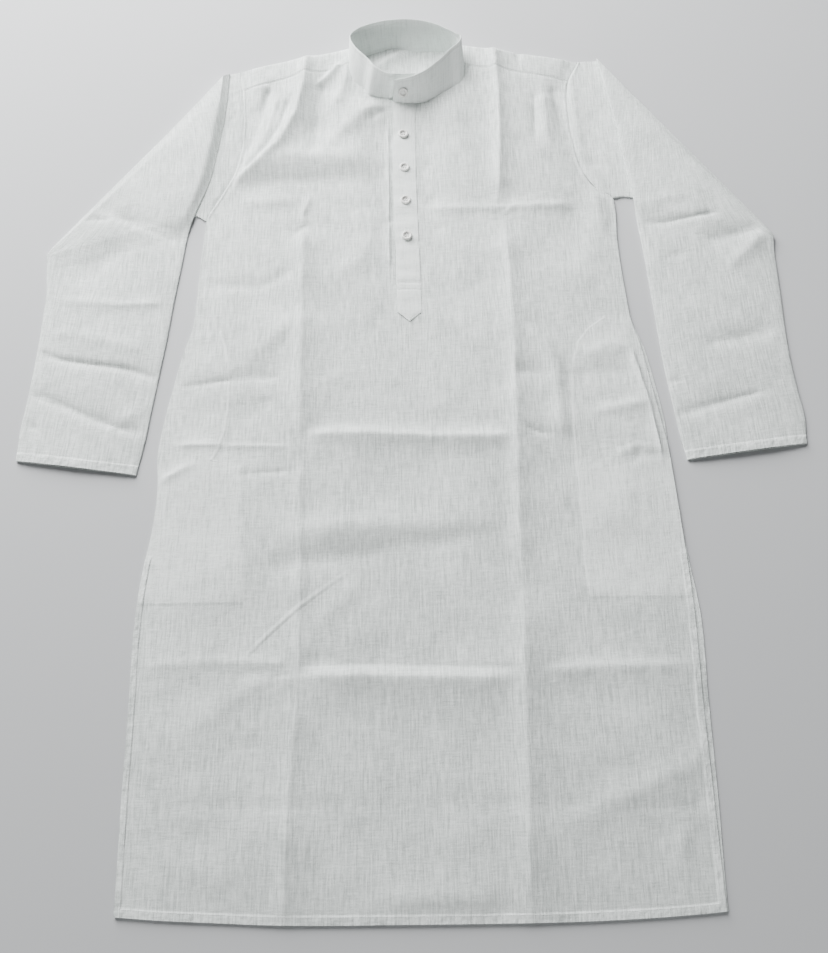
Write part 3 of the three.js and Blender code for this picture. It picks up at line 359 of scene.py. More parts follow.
def smooth(places, values, at):
    """A smooth curve through values at places, read at `at`."""
    places, values = np.asarray(places, float), np.asarray(values, float)
    at = np.clip(np.asarray(at, float), places[0], places[-1])
    slopes = np.gradient(values, places, axis=0)
    start = np.clip(np.searchsorted(places, at, side="right") - 1, 0, len(places) - 2)
    more = (1,) * (values.ndim - 1)
    span = (places[start + 1] - places[start]).reshape(at.shape + more)
    part = (at - places[start]).reshape(at.shape + more) / span
    return (
        (2 * part**3 - 3 * part**2 + 1) * values[start]
        + (part**3 - 2 * part**2 + part) * slopes[start] * span
        + (3 * part**2 - 2 * part**3) * values[start + 1]
        + (part**3 - part**2) * slopes[start + 1] * span
    )


def ease(value, start, end):
    """0 before start, 1 after end, and a smooth way between."""
    part = np.clip((np.asarray(value, float) - start) / (end - start), 0, 1)
    return part * part * (3 - 2 * part)


def mix(a, b, part):
    return a + (b - a) * part


def hump(value, width):
    """1 where value is 0, falling off within about `width` on both sides."""
    return np.exp(-((value / width) ** 2))


def unit(vectors):
    return vectors / np.linalg.norm(vectors, axis=-1, keepdims=True)


def stations(start, end, pitch, close=(), fine=1.0, zones=()):
    """Places from start to end about `pitch` apart, finer in zones and near each of `close`."""
    line = np.linspace(start, end, 4001)
    spacing = np.full(line.shape, float(pitch))
    for low, high, finer in zones:
        outside = np.maximum(np.maximum(low - line, line - high), 0)
        spacing = np.minimum(spacing, finer + 0.2 * outside)
    for place in close:
        spacing = np.minimum(spacing, fine + 0.3 * np.abs(line - place))
    steps = np.concatenate([[0], np.cumsum(np.diff(line) / spacing[1:])])
    count = max(1, round(steps[-1]))
    return np.interp(np.linspace(0, steps[-1], count + 1), steps, line)


def ripple(x, y, pitch_x, pitch_y, seed):
    """Seeded smooth noise, about -1 to 1, with waves of about that size."""
    turns = np.random.default_rng(seed).uniform(0, 2 * math.pi, (128, 128))
    u, v = x / pitch_x + 47.3, y / pitch_y + 31.7
    column, row = np.floor(u).astype(int), np.floor(v).astype(int)
    u, v = u - column, v - row
    fade_u, fade_v = (t**3 * (t * (6 * t - 15) + 10) for t in (u, v))

    def corner(right, up):
        turn = turns[(column + right) % 128, (row + up) % 128]
        return np.cos(turn) * (u - right) + np.sin(turn) * (v - up)

    low = mix(corner(0, 0), corner(1, 0), fade_u)
    high = mix(corner(0, 1), corner(1, 1), fade_u)
    return 1.6 * mix(low, high, fade_v)


def ripples(x, y, waves):
    """Ripples on top of each other: height, pitch across, pitch along and seed of each."""
    return sum(height * ripple(x, y, *wave) for height, *wave in waves)


def crease_height(crease, x, y):
    """Height of one crease at each place."""
    line, widths, heights, roundness = crease
    line = np.asarray(line, float)
    lengths = np.hypot(*np.diff(line, axis=0).T)
    before = np.concatenate([[0], np.cumsum(lengths)])
    nearest = np.full(np.shape(x), np.inf)
    along = np.zeros(np.shape(x))
    upper = np.zeros(np.shape(x), bool)
    for (ax, ay), (bx, by), length, passed in zip(line[:-1], line[1:], lengths, before):
        part = np.clip(((x - ax) * (bx - ax) + (y - ay) * (by - ay)) / length**2, 0, 1)
        distance = np.hypot(x - mix(ax, bx, part), y - mix(ay, by, part))
        closer = distance < nearest
        nearest = np.where(closer, distance, nearest)
        along = np.where(closer, passed + part * length, along)
        upper = np.where(closer, (bx - ax) * (y - ay) > (by - ay) * (x - ax), upper)
    width = np.where(upper, widths[0], widths[1])
    reach = min(max(12, 1.6 * max(widths)), before[-1] / 3)
    fade = 0.3 + 0.7 * ease(np.minimum(along, before[-1] - along), 0, reach)
    height = mix(heights[0], heights[1], along / before[-1]) * fade
    return height * np.exp(-(np.sqrt(nearest**2 + roundness**2) - roundness) / (0.7 * width))


def creased(creases, x, y):
    """Ridges that cross don't add up; troughs cut into what is there."""
    ridges, troughs = np.zeros(np.shape(x)), np.zeros(np.shape(x))
    for crease in creases:
        height = crease_height(crease, x, y)
        ridges += np.maximum(height, 0) ** 3
        troughs += np.minimum(height, 0)
    return np.cbrt(ridges) + troughs


# ---- Outlines and heights of the body ----


def skewed(y):
    """The wearer's left armpit lies higher than the other one."""
    return y + 26 * ease(y, 700, 812)


LEFT_EDGE = np.vstack([BODY[:, [0, 1]], ARMHOLES["left"][1:, ::-1]])
RIGHT_EDGE = np.vstack([np.column_stack([skewed(BODY[:, 0]), BODY[:, 3]]), ARMHOLES["right"][1:, ::-1]])
BACK_RIGHT_EDGE = np.vstack([np.column_stack([skewed(BODY[:, 0]), BODY[:, 2]]), ARMHOLES["right"][1:, ::-1]])


def edge_at(edge, y):
    return smooth(edge[:, 0], edge[:, 1], y)


def hem_at(x):
    return smooth(HEM[:, 0], HEM[:, 1], x)


def inside_body(x, y):
    """How far a place of the front lies from the side edges, in millimetres."""
    return np.minimum(x - edge_at(LEFT_EDGE, y), edge_at(RIGHT_EDGE, y) - x)


def over_bag(side, x, y):
    """1 over a pocket bag, 0 beside it."""
    rows = BAGS[side]
    across = np.abs(x) * (np.sign(x) == (-1 if side == "left" else 1))
    inner = np.interp(y, rows[:, 0], rows[:, 2], right=400)
    return ease(across - inner, -2.5, 2.5) * ease(y, 310, 316)


def neck_lift(x, y):
    """The stiff collar holds the cloth round it off the ground."""
    away = np.hypot(np.maximum(np.abs(x - PLACKET_MIDDLE) - 80, 0), np.maximum(np.abs(y - 1030) - 38, 0))
    return 4 * (1 - ease(away, 0, 60))


def front_face(x, y):
    """Height of the face of the front and of the yoke's forward layer."""
    inside = inside_body(x, y)
    above_hem = y - hem_at(x)
    from_placket = np.abs(x - PLACKET_MIDDLE)
    free = ease(inside, 0, 45) * ease(above_hem, 0, 50)
    loft = LOFT * free * ease(from_placket, 17, 75)
    shoulders = SHOULDER_LOFT * ease(inside, 0, 26) * ease(y, 820, 900) * ease(from_placket, 17, 60)
    waves, rumple = ripples(x, y, FRONT_WAVES), ripples(x, y, FRONT_RUMPLE)
    hem = HEM_STEP * hemmed(x, y)
    underlap = 0.5 * ease(x, -31.5, -30) * (1 - ease(x, -24, -20))
    underlap = underlap * ease(y, 705, 720) * (1 - ease(y, 985, 994))
    bags = BAG_LIFT * (over_bag("left", x, y) + over_bag("right", x, y))
    quiet = ease(inside, 0, 14) * ease(above_hem, 0, 12)
    folds = creased(FRONT_CREASES, x, y) * mix(0.3, 1, quiet)
    seam = ARMHOLE_RIDGE * hump(inside - 2, 1.8) - 0.5 * hump(inside, 1.1)
    seam = np.where(y > 820, seam * np.where(x < 0, 1, 0.5), 0)
    height = (
        FRONT_TOP + loft + shoulders + hem + bags + underlap + neck_lift(x, y) + folds
        + waves * free * ease(from_placket, 15, 40) + rumple * quiet + seam
    )
    spare = height - FRONT_LOWEST
    return FRONT_LOWEST + (spare + np.sqrt(spare**2 + 0.15)) / 2


def on_hem(away, width):
    """1 on a turned hem of that width, 0 beyond it."""
    return 1 - ease(away, width - HEM_EDGE, width)


def body_hem(inside, above_hem, y):
    """1 on the turned hems at the slits and the bottom of a body panel, 0 beside them."""
    return np.maximum(np.where(y < SLIT_TOP, on_hem(inside, SLIT_HEM), 0), on_hem(above_hem, BOTTOM_HEM))


def hemmed(x, y):
    return body_hem(inside_body(x, y), y - hem_at(x), y)


# ---- Sheets of cloth ----


def cloth(name, face, reverse, cut, ring=False, has=None, hem=None):
    """A closed sheet between two grids of places, with its cut laid out in metres as its UV map.

    face and reverse are rows x columns x 3. A ring joins the last column to the first, and its cut has
    one column more. has says which cells there are, and hem is 1 where the cloth is turned double.
    """
    rows, columns = face.shape[:2]
    row, column = np.mgrid[0 : rows - 1, 0 : columns if ring else columns - 1]
    if has is not None:
        there = has(row, column)
        row, column = row[there], column[there]
    row, column = row.ravel(), column.ravel()
    corner_rows = np.stack([row, row, row + 1, row + 1], 1)
    corner_columns = np.stack([column, column + 1, column + 1, column], 1)
    index = corner_rows * columns + corner_columns % columns
    total = rows * columns

    start, end = index, np.roll(index, -1, 1)
    is_rim = ~np.isin(start * total + end, end * total + start)
    rim_start, rim_end = start[is_rim], end[is_rim]
    walls = np.stack([rim_start, rim_start + total, rim_end + total, rim_end], 1)
    cut = np.asarray(cut, float)
    cut_columns = cut.shape[1]
    place = corner_rows * cut_columns + corner_columns
    wall_start, wall_end = place[is_rim], np.roll(place, -1, 1)[is_rim]
    wall_places = np.stack([wall_start, wall_start, wall_end, wall_end], 1)

    quads = np.vstack([index, index[:, ::-1] + total, walls])
    places = np.vstack([place, place[:, ::-1], wall_places])
    vertices = np.vstack([placed(face).reshape(-1, 3), placed(reverse).reshape(-1, 3)])
    a, b, c, d = (vertices[quads[:, k]] for k in range(4))
    volume = (np.cross(b - a, c - a) * a).sum() + (np.cross(c - a, d - a) * a).sum()
    if volume < 0:
        quads, places = quads[:, ::-1], places[:, ::-1]

    used, compact = np.unique(quads, return_inverse=True)
    mesh = bpy.data.meshes.new(name)
    mesh.from_pydata(vertices[used].tolist(), [], compact.reshape(quads.shape).tolist())
    layer = mesh.uv_layers.new(name="cut")
    layer.data.foreach_set("uv", cut.reshape(-1, 2)[places.ravel()].astype(np.float32).ravel())
    doubled = np.broadcast_to(0.0 if hem is None else hem, (rows, columns)).ravel()
    double = mesh.attributes.new("hem", "FLOAT", "POINT")
    double.data.foreach_set("value", np.tile(doubled, 2)[used].astype(np.float32))
    return finished(name, mesh)


def finished(name, mesh):
    """An object for a mesh, shaded smooth but for its cut edges."""
    mesh.validate()
    mesh.shade_smooth()
    mesh.set_sharp_from_angle(angle=math.radians(48))
    piece = bpy.data.objects.new(name, mesh)
    bpy.context.scene.collection.objects.link(piece)
    return piece


def flat_sheet(name, x, y, top, thickness=CLOTH, has=None, hem=None):
    """A sheet that lies flat: its reverse is straight below its face."""
    face = np.stack([x, y, top], -1)
    reverse = np.stack([x, y, top - thickness], -1)
    return cloth(name, face, reverse, placed_cut(x, y), has=has, hem=hem)


def placed_cut(x, y):
    return np.stack([x * MM, y * MM], -1)


# ---- Back and front ----


def back_sheet():
    rows = stations(0, YOKE_BACK, 13, close=(0, BOTTOM_HEM, YOKE_BACK), fine=1.6)
    part = stations(0, 620, 13, close=(0, SLIT_HEM, 173, 425, 620 - SLIT_HEM, 620), fine=1.4) / 620
    left_y = rows[:, None]
    right_rows = [0, 700, 744, 796, 838, 872, 928, YOKE_BACK]
    right_y = np.interp(rows, [0, 700, 740, 780, 812, 850, 915, YOKE_BACK], right_rows)[:, None]
    y = mix(left_y, right_y, part)
    left = edge_at(LEFT_EDGE, left_y) + 0.5 * (1 - ease(left_y, 300, 380))
    x = mix(left, edge_at(BACK_RIGHT_EDGE, right_y), part)
    y = y + hem_at(x) * (1 - ease(y, 0, 60))
    inside = np.minimum(x - left, edge_at(BACK_RIGHT_EDGE, right_y) - x)
    hem = body_hem(inside, y - hem_at(x), y)
    off_floor = creased(BACK_CREASES, x, y) + 0.3 * ripple(x, y, 90, 60, 11) + 0.3
    off_floor = np.clip(BACK_RUMPLE * off_floor * ease(inside, 0, 14), 0, 0.6)
    face = np.stack([x, y, BACK_TOP + 0.25 * hem + off_floor], -1)
    reverse = np.stack([x, y, off_floor], -1)
    return cloth("back_cloth", face, reverse, placed_cut(x, y), hem=hem)


def front_columns(outer, inner, crest):
    """Places across one side of the front, close together at its edge and along its press fold."""
    edge_part = stations(0, 168, 4.3, close=(0, SLIT_HEM, 168), fine=0.9) / 168
    middle_part = stations(0, 120, 4.8, close=(0, 112), fine=1.0) / 120
    crest_part = ((crest - outer[0]) / (inner[0] - outer[0]))[:, None]
    part = np.hstack([crest_part * edge_part, (crest_part + (1 - crest_part) * middle_part)[:, 1:]])
    return mix(outer[0][:, None], inner[0][:, None], part), mix(outer[1][:, None], inner[1][:, None], part)


def front_sheet():
    rows = stations(0, 1053, 6.2, close=(0, BOTTOM_HEM, 229, 241, 466, 499, 509, 585, 1053), fine=1.5,
                    zones=[(470, 600, 3.6), (800, 1053, 2.9)])
    left_y, right_y = (np.interp(rows, CHEST[:, 0], CHEST[:, k]) for k in (1, 2))
    at_neck = rows > PLACKET_TOP
    neck = smooth(NECK[:, 0], NECK[:, 1:], rows)
    inner_left = np.where(at_neck, neck[:, 0], SLASH[0]), np.where(at_neck, neck[:, 1], rows)
    inner_right = np.where(at_neck, neck[:, 2], SLASH[1]), np.where(at_neck, neck[:, 3], rows)
    crest_left, crest_right = (np.interp(rows, PRESS[:, 0], PRESS[:, k]) for k in (1, 2))
    left_x, left_rows = front_columns((edge_at(LEFT_EDGE, left_y), left_y), inner_left, crest_left)
    right_x, right_rows = front_columns((edge_at(RIGHT_EDGE, right_y), right_y), inner_right, crest_right)
    middle = np.linspace(0, 1, 8)[1:-1]
    middle_x = mix(inner_left[0][:, None], inner_right[0][:, None], middle)
    middle_y = mix(inner_left[1][:, None], inner_right[1][:, None], middle)
    x = np.hstack([left_x, middle_x, right_x[:, ::-1]])
    y = np.hstack([left_rows, middle_y, right_rows[:, ::-1]])
    y = y + hem_at(x) * (1 - ease(y, 0, 60))
    slash_start, slash_end = left_x.shape[1] - 1, left_x.shape[1] + middle.size
    slash_row = int(np.argmax(rows >= SLASH_END))

    def has(row, column):
        return (column < slash_start) | (column >= slash_end) | (row < slash_row)

    top = front_face(x, y)
    dip = SEAM_DIP * hump(CHEST[-1, 0] - rows, 1.8)
    return flat_sheet("front_cloth", x, y, top - dip[:, None], has=has, hem=hemmed(x, y))


# ---- Yoke ----


def yoke_seam(side):
    """Neck end and armhole end of the seam between the front and the yoke."""
    column, neck = (1, NECK[-1, 1:3]) if side == "left" else (2, NECK[-1, 3:5])
    arm_y = CHEST[-1, column]
    return neck[0], neck[1], float(edge_at(LEFT_EDGE if side == "left" else RIGHT_EDGE, arm_y)), arm_y


def yoke_sheet():
    """The yoke's forward layer, its turn over the shoulders and its layer under the neck."""
    wing = stations(0, 145, 2.6, close=(0, 145), fine=1.2) / 145
    forward = stations(0, 1, 0.08, close=(0,), fine=0.03)
    turn = np.linspace(0, math.pi, 9)[1:]
    behind = np.linspace(0, 1, 18)[1:]
    low = CLOTH / 2

    def section(side, part):
        neck_x, neck_y, arm_x, arm_y = yoke_seam(side)
        edge = LEFT_EDGE if side == "left" else RIGHT_EDGE
        fold_end = ARMHOLES[side][-1]
        seam_x, seam_y = mix(neck_x, arm_x, part), mix(neck_y, arm_y, part) + 0.2
        fold_x = mix(SHOULDER[side][0], fold_end[0], part)
        fold_y = mix(SHOULDER[side][1], fold_end[1], part)
        back_x = mix(SHOULDER[side][0], float(edge_at(edge, YOKE_BACK)), part)
        radius = (float(front_face(fold_x, fold_y)) - CLOTH / 2 - low) / 2
        centre_y = fold_y - radius - CLOTH / 2
        x = mix(seam_x, fold_x, forward)
        y = mix(seam_y, centre_y, forward)
        z = front_face(x, y) - CLOTH / 2 - SEAM_DIP * hump(forward * 32, 1.8)
        tilt = np.full(forward.shape, math.pi / 2)
        x = np.concatenate([x, np.full(turn.shape, fold_x), mix(fold_x, back_x, behind)])
        y = np.concatenate([y, centre_y + radius * np.sin(turn), mix(centre_y, YOKE_BACK, behind)])
        z = np.concatenate([z, low + radius + radius * np.cos(turn), np.full(behind.shape, low)])
        tilt = np.concatenate([tilt, math.pi / 2 - turn, np.full(behind.shape, -math.pi / 2)])
        return np.stack([x, y, z, tilt], -1)

    left = [section("left", part) for part in wing[::-1]]
    right = [section("right", part) for part in wing]
    first_lower = forward.size + turn.size - 1
    neck_x = stations(SHOULDER["left"][0], SHOULDER["right"][0], 3.6)[1:-1]
    under = []
    for x in neck_x:
        part = np.clip((np.arange(left[0].shape[0]) - first_lower) / behind.size, 0, 1)
        top_y = float(smooth(NECK_BACK[:, 0], NECK_BACK[:, 1], x))
        y = mix(top_y, YOKE_BACK, part)
        soft = np.sin(math.pi * part) * (1.6 + 1.4 * ripple(np.full(y.shape, x), y, 30, 30, 21))
        across = (x + 42) * 0.6 - (y - 1058) * 0.8
        soft += 4.5 * hump(across, 7) * ease(y, 1020, 1060) * (1 - ease(y, 1078, 1092))
        z = low + np.maximum(soft, 0) * ease(min(x - SHOULDER["left"][0], SHOULDER["right"][0] - x), 0, 12)
        under.append(np.stack([np.full(y.shape, x), y, z, np.full(y.shape, -math.pi / 2)], -1))
    sheet = np.stack(left + under + right, 1)
    out = np.stack([np.zeros(sheet.shape[:2]), np.cos(sheet[..., 3]), np.sin(sheet[..., 3])], -1) * CLOTH / 2
    middle = sheet[..., :3]
    lengths = np.linalg.norm(np.diff(middle, axis=0), axis=-1)
    along = np.vstack([np.zeros(lengths.shape[1]), np.cumsum(lengths, 0)])
    cut = np.stack([middle[..., 0], along], -1) * MM
    under_from, under_to = len(left) - 1, len(left) + len(under)

    def has(row, column):
        return (row >= first_lower) | (column < under_from) | (column >= under_to)

    return cloth("yoke_cloth", middle + out, middle - out, cut, has=has)


# ---- Placket ----


def placket_middle(y):
    """The placket leans a little: its point lies further to the wearer's left."""
    return PLACKET_MIDDLE + 4 * (1 - ease(y, PLACKET_END, 900))


def over_slash(y, across):
    """Height of the front beside the slash, read across it."""
    sides = [front_face(np.full(np.shape(y), x), y) for x in (SLASH[0] - 1.0, SLASH[1] + 1.0)]
    return mix(*sides, across)


def placket_face(x, y):
    """The front under the placket, and the placket's own height above it."""
    across = np.clip((x - SLASH[0]) / (SLASH[1] - SLASH[0]), 0, 1)
    beside = front_face(x, y)
    beside_slash = np.maximum(over_slash(y, across), beside * (np.abs(x - PLACKET_MIDDLE) > 13))
    floor = np.where(y > SLASH_END, beside_slash, beside)
    return floor + PLACKET_STEP * mix(1.3, 0.45, across)


def placket_sheet():
    rows = stations(PLACKET_END, PLACKET_TOP, 3, fine=0.8,
                    close=(PLACKET_END, PLACKET_SHOULDER, 706, 714, PLACKET_TOP))
    across = stations(-0.5, 0.5, 0.1, close=(-0.5, 0.5), fine=0.02)
    half = PLACKET_WIDTH * np.clip((rows - PLACKET_END + 0.6) / (PLACKET_SHOULDER - PLACKET_END), 0, 1)
    x = placket_middle(rows)[:, None] + across * half[:, None]
    y = np.repeat(rows[:, None], across.size, 1)
    top = placket_face(x, y)
    from_side = (0.5 - np.abs(across)) * half[:, None]
    pillow = 0.45 * ease(from_side, 0, 1.2) - 0.35 * hump(from_side - 2, 0.9)
    bars = -0.4 * (hump(y - 714.5, 0.9) + hump(y - 706, 0.9)) - 0.7 * hump(y - 716.5, 1.5)
    bars += 0.5 * hump(y - 726, 4) - 0.6 * hump(y - 775, 5)
    sway = 0.9 * ripple(x * 0.5, y, 30, 19, 31) * ease(y, PLACKET_END, 700)
    return flat_sheet("placket_cloth", x, y, top + pillow + bars + sway, thickness=0.9)


def underlay_sheet():
    rows = stations(SLASH_END + 0.5, PLACKET_TOP, 4)
    across = np.linspace(0, 1, 9)
    x = mix(SLASH[0] + 0.4, SLASH[1] - 0.4, across)[None, :].repeat(rows.size, 0)
    y = np.repeat(rows[:, None], across.size, 1)
    return flat_sheet("placket_underlay", x, y, over_slash(y, across) - 0.15)


# ---- Collar ----


def band_lines(at):
    """Seam edge and free edge of the band at each part of its length."""
    middle = (BAND[:, :3] + BAND[:, 3:]) / 2
    length = np.concatenate([[0], np.cumsum(np.linalg.norm(np.diff(middle, axis=0), axis=1))])
    lines = smooth(length, BAND, at * length[-1])
    return lines[:, :3], lines[:, 3:], length[-1]


def band_frame(steps):
    """Seam edge, free edge, length, way out of the band's face, and how far it sways there."""
    seam, rim, length = band_lines(steps)
    out = unit(np.cross(unit(np.gradient(seam + rim, axis=0)), rim - seam))
    return seam, rim, length, out, 0.5 * ripple(steps * length, steps * 0, 46, 40, 41)


BAND_BULGE = 0.9
BAND_STITCHES = 3, 34  # height of the two rows of stitches on the band


def collar_sheet():
    steps = stations(0, 1, 1 / 170, close=(0, 0.265, 1), fine=0.002)
    seam, rim, length, out, sway = band_frame(steps)
    width = BAND_WIDTH
    up = stations(0, width, 3, close=(0, 3, width - 4, width), fine=0.5)
    part = (up / width)[:, None, None]
    middle = mix(seam[None], rim[None], part)
    wave = sway[None, :] * np.sin(math.pi * part[..., 0])
    bulge = BAND_BULGE * np.sin(math.pi * part[..., 0])
    dents = ((-53, 2.8), (-65, -2.4), (-36, -2.0))  # x and depth, on the length that lies inside
    folds = sum(depth * hump(seam[:, 0] - x, 5.5) for x, depth in dents) * (steps > 0.75)
    middle = middle + out[None] * (wave + bulge + folds[None, :] * (1 - 0.5 * part[..., 0]))[..., None]
    half = BAND_THICKNESS / 2
    round_rim = np.sqrt(np.clip(1 - np.clip((up - (width - half)) / half, 0, 0.97) ** 2, 0, 1))
    groove = 0.28 * hump(up - BAND_STITCHES[1], 0.8) + 0.28 * hump(up - BAND_STITCHES[0], 0.8)
    thick = (half * round_rim - groove)[:, None, None]
    ends = np.minimum(steps, 1 - steps) * length
    thick = thick * (0.35 + 0.65 * np.sqrt(np.clip(ends / 1.2, 0, 1)))[None, :, None]
    cut = np.stack(np.broadcast_arrays(steps[None, :] * length * MM, up[:, None] * MM), -1)
    return cloth("collar_cloth", middle + out[None] * thick, middle - out[None] * thick, cut)


# ---- Pocket bags ----


def bag_sheet(side):
    rows = BAGS[side]
    sign = -1 if side == "left" else 1
    y_rows = stations(rows[0, 0], rows[-1, 0], 6, close=(rows[0, 0],), fine=1.5)
    outer, inner = (np.interp(y_rows, rows[:, 0], rows[:, k]) for k in (1, 2))
    across = stations(0, 1, 0.06, close=(0, 1), fine=0.015)
    x = sign * mix(outer[:, None] - 3, inner[:, None], across)
    y = np.repeat(y_rows[:, None], across.size, 1)
    top = 1.9 + 0 * x
    return flat_sheet(f"pocket_{side}", x, y, top, thickness=0.95)


# ---- Sleeves ----


def ring_of(count):
    """Once round a flattened tube: part across, side of the rounded end, and the turn at each point."""
    across = np.linspace(0, 1, count)
    bend = np.radians([-60, -30, 0, 30, 60])
    part = np.concatenate([across, np.ones(5), across[::-1], np.zeros(5)])
    end = np.concatenate([np.zeros(count), np.ones(5), np.zeros(count), -np.ones(5)])
    turn = np.concatenate([np.full(count, -math.pi / 2), bend, np.full(count, math.pi / 2), bend[::-1]])
    return part, end, turn


def sleeve_sheet(side):
    table = SLEEVES[side]
    outward = -1 if side == "left" else 1
    part, end, turn = ring_of(RING_COUNT)
    armhole = ARMHOLES[side][::-1] + [outward * 0.05, 0]
    curve = smooth(np.arange(len(armhole)), armhole, part * (len(armhole) - 1))

    def straight(row):
        return np.stack([mix(row[0], row[2], part), mix(row[1], row[3], part)], -1)

    fold = table["fold"]
    lower = np.stack([curve] + [straight(row) for row in table["lower"]] + [straight(fold)])
    upper = np.stack([straight(fold)] + [straight(row) for row in table["upper"]])
    raises = np.array([2 * table["upper"][0][4] / 3] + [row[4] for row in table["upper"]], float)
    on_ground = -(2 * FOLD_AXIS - SLEEVE_STACK)
    bases = np.where(np.arange(len(upper)) <= ROWS_ON_SLEEVE, 0.0, on_ground)

    lower_at = stations(0, 3, 0.065, close=(0, 3), fine=0.01)
    upper_at = stations(0, len(upper) - 1, 0.1, close=(len(upper) - 1.3, len(upper) - 1), fine=0.02,
                        zones=table["fine"])
    bend_steps = np.linspace(0, math.pi, 9)[1:-1]
    fold_x, fold_y = fold[2] - fold[0], fold[3] - fold[1]
    fold_out = np.array([outward * -fold_y, outward * fold_x]) / math.hypot(fold_x, fold_y)

    def surface(inset):
        """The tube's outer surface, or the one `inset` inside it."""
        reach = SLEEVE_STACK / 2
        radius = reach - inset
        sections = []

        def lay(flat):
            """Sections with their rounded ends drawn inside the outline."""
            direction = unit(flat[:, part.argmax()] - flat[:, 0])
            push = (end * radius * np.cos(turn)) + reach * (1 - 2 * part)
            return flat + direction[:, None, :] * push[None, :, None]

        height = (reach + radius * np.sin(turn))[None, :]
        low = lay(smooth(np.arange(len(lower)), lower, lower_at))
        top_layer = ease(turn, -0.5, 0.5)[None, :]
        x, y = low[..., 0], low[..., 1]
        from_armhole = lower_at[:, None]
        before_fold = 1 - ease(from_armhole, 2.2, 3)
        loft = 0.9 * np.sin(math.pi * part)[None, :] * ease(from_armhole, 0, 0.6) * before_fold
        rumple = ripples(x, y, STUB_RUMPLE) * ease(from_armhole, 0, 0.3)
        puckers = creased(STUB_CREASES[side], x, y) * ease(from_armhole, 0, 0.15)
        rumple += 0.8 + puckers - 0.8 * (1 - ease(from_armhole, 0, 0.4))
        off_ends = np.minimum(4 * np.minimum(part, 1 - part), 1)[None, :]
        rumple = np.maximum(rumple, -0.2) * before_fold * off_ends
        from_seam = from_armhole * 16
        ridge = (ARMHOLE_RIDGE if side == "right" else 0) * hump(from_seam - 2.2, 1.8)
        ridge = ridge - 0.6 * hump(from_seam, 1.1)
        z = height + top_layer * (loft * 0.3 + rumple + ridge)
        sections.append(np.concatenate([low, z[..., None]], -1))

        at_fold = lay(upper[:1])
        for angle in bend_steps:
            arm = FOLD_AXIS - height[0]
            push = arm * math.sin(angle) * (0.2 + 0.8 * ease(part, 0, 0.03) * (1 - ease(part, 0.96, 1)))
            turned = at_fold[0] + fold_out * push[:, None]
            sections.append(np.concatenate([turned, (FOLD_AXIS - arm * math.cos(angle))[:, None]], -1)[None])

        high = lay(smooth(np.arange(len(upper)), upper, upper_at))
        x, y = high[..., 0], high[..., 1]
        up_layer = 1 - top_layer
        lift = np.interp(upper_at, np.arange(len(upper)), raises)[:, None]
        across = np.linalg.norm(high[:, part.argmax()] - high[:, 0], axis=-1)[:, None]
        roll = ease(part[None, :] * across, 0, EDGE_ROLL) if side == "left" else 1.0
        outward_part = (1 - part)[None, :]
        lift = lift * roll * (up_layer * outward_part**3 + 0.7 * top_layer * outward_part**3.6)
        base = np.interp(upper_at, np.arange(len(upper)), bases)[:, None]
        middle = np.sqrt(np.clip(np.sin(math.pi * part), 0, 1))[None, :]
        calm = ease(upper_at, 0, 1)[:, None]
        puff = creased(SLEEVE_CREASES[side], x, y) * np.minimum(middle * 1.6, 1)
        waves = ripples(x, y, SLEEVE_WAVES) * middle
        loft = np.maximum(SLEEVE_LOFT * middle + waves * calm + puff, -0.4) * ease(upper_at, 0, 0.6)[:, None]
        from_cuff = (len(upper) - 1 - upper_at)[:, None] * 40
        cuff = HEM_STEP * on_hem(from_cuff, CUFF_HEM)
        z = 2 * FOLD_AXIS - height + base + lift + up_layer * (loft + cuff)
        z = z + top_layer * np.clip(loft * 0.2, 0, 0.6)
        sections.append(np.concatenate([high, z[..., None]], -1))
        return np.concatenate(sections)

    outer, inner = surface(0), surface(CLOTH)
    around = np.linalg.norm(np.diff(np.concatenate([outer, outer[:, :1]], 1), axis=1), axis=-1)
    u = np.concatenate([np.zeros((len(outer), 1)), np.cumsum(around, 1)], 1)
    u = u - u[:, [RING_COUNT - 1]] / 2
    lengths = np.linalg.norm(np.diff(outer, axis=0), axis=-1)
    from_cuff = np.concatenate([np.cumsum(lengths[::-1], 0)[::-1], np.zeros((1, lengths.shape[1]))])
    cut = np.stack([u, -np.concatenate([from_cuff, from_cuff[:, :1]], 1)], -1) * MM
    stub = np.concatenate([outer, outer[:, :1]], 1)[: lower_at.size]
    cut[: lower_at.size] = stub[..., :2] * MM
    hem = on_hem(from_cuff, CUFF_HEM)
    return cloth(f"sleeve_{side}_cloth", outer, inner, cut, ring=True, hem=hem), outer


# ---- Make the sheets ----

back = back_sheet()
front = front_sheet()
yoke = yoke_sheet()
sleeve_left, left_surface = sleeve_sheet("left")
sleeve_right, right_surface = sleeve_sheet("right")
collar = collar_sheet()
placket = placket_sheet()
underlay = underlay_sheet()
pocket_left = bag_sheet("left")
pocket_right = bag_sheet("right")

# ---- Buttons ----

BUTTON_SCALE = 1.06
BUTTON_HEIGHT = 2.4
BUTTON_HOLE = 0.8  # radius
HOLE_REACH = 1.4  # of each hole from the middle, both ways


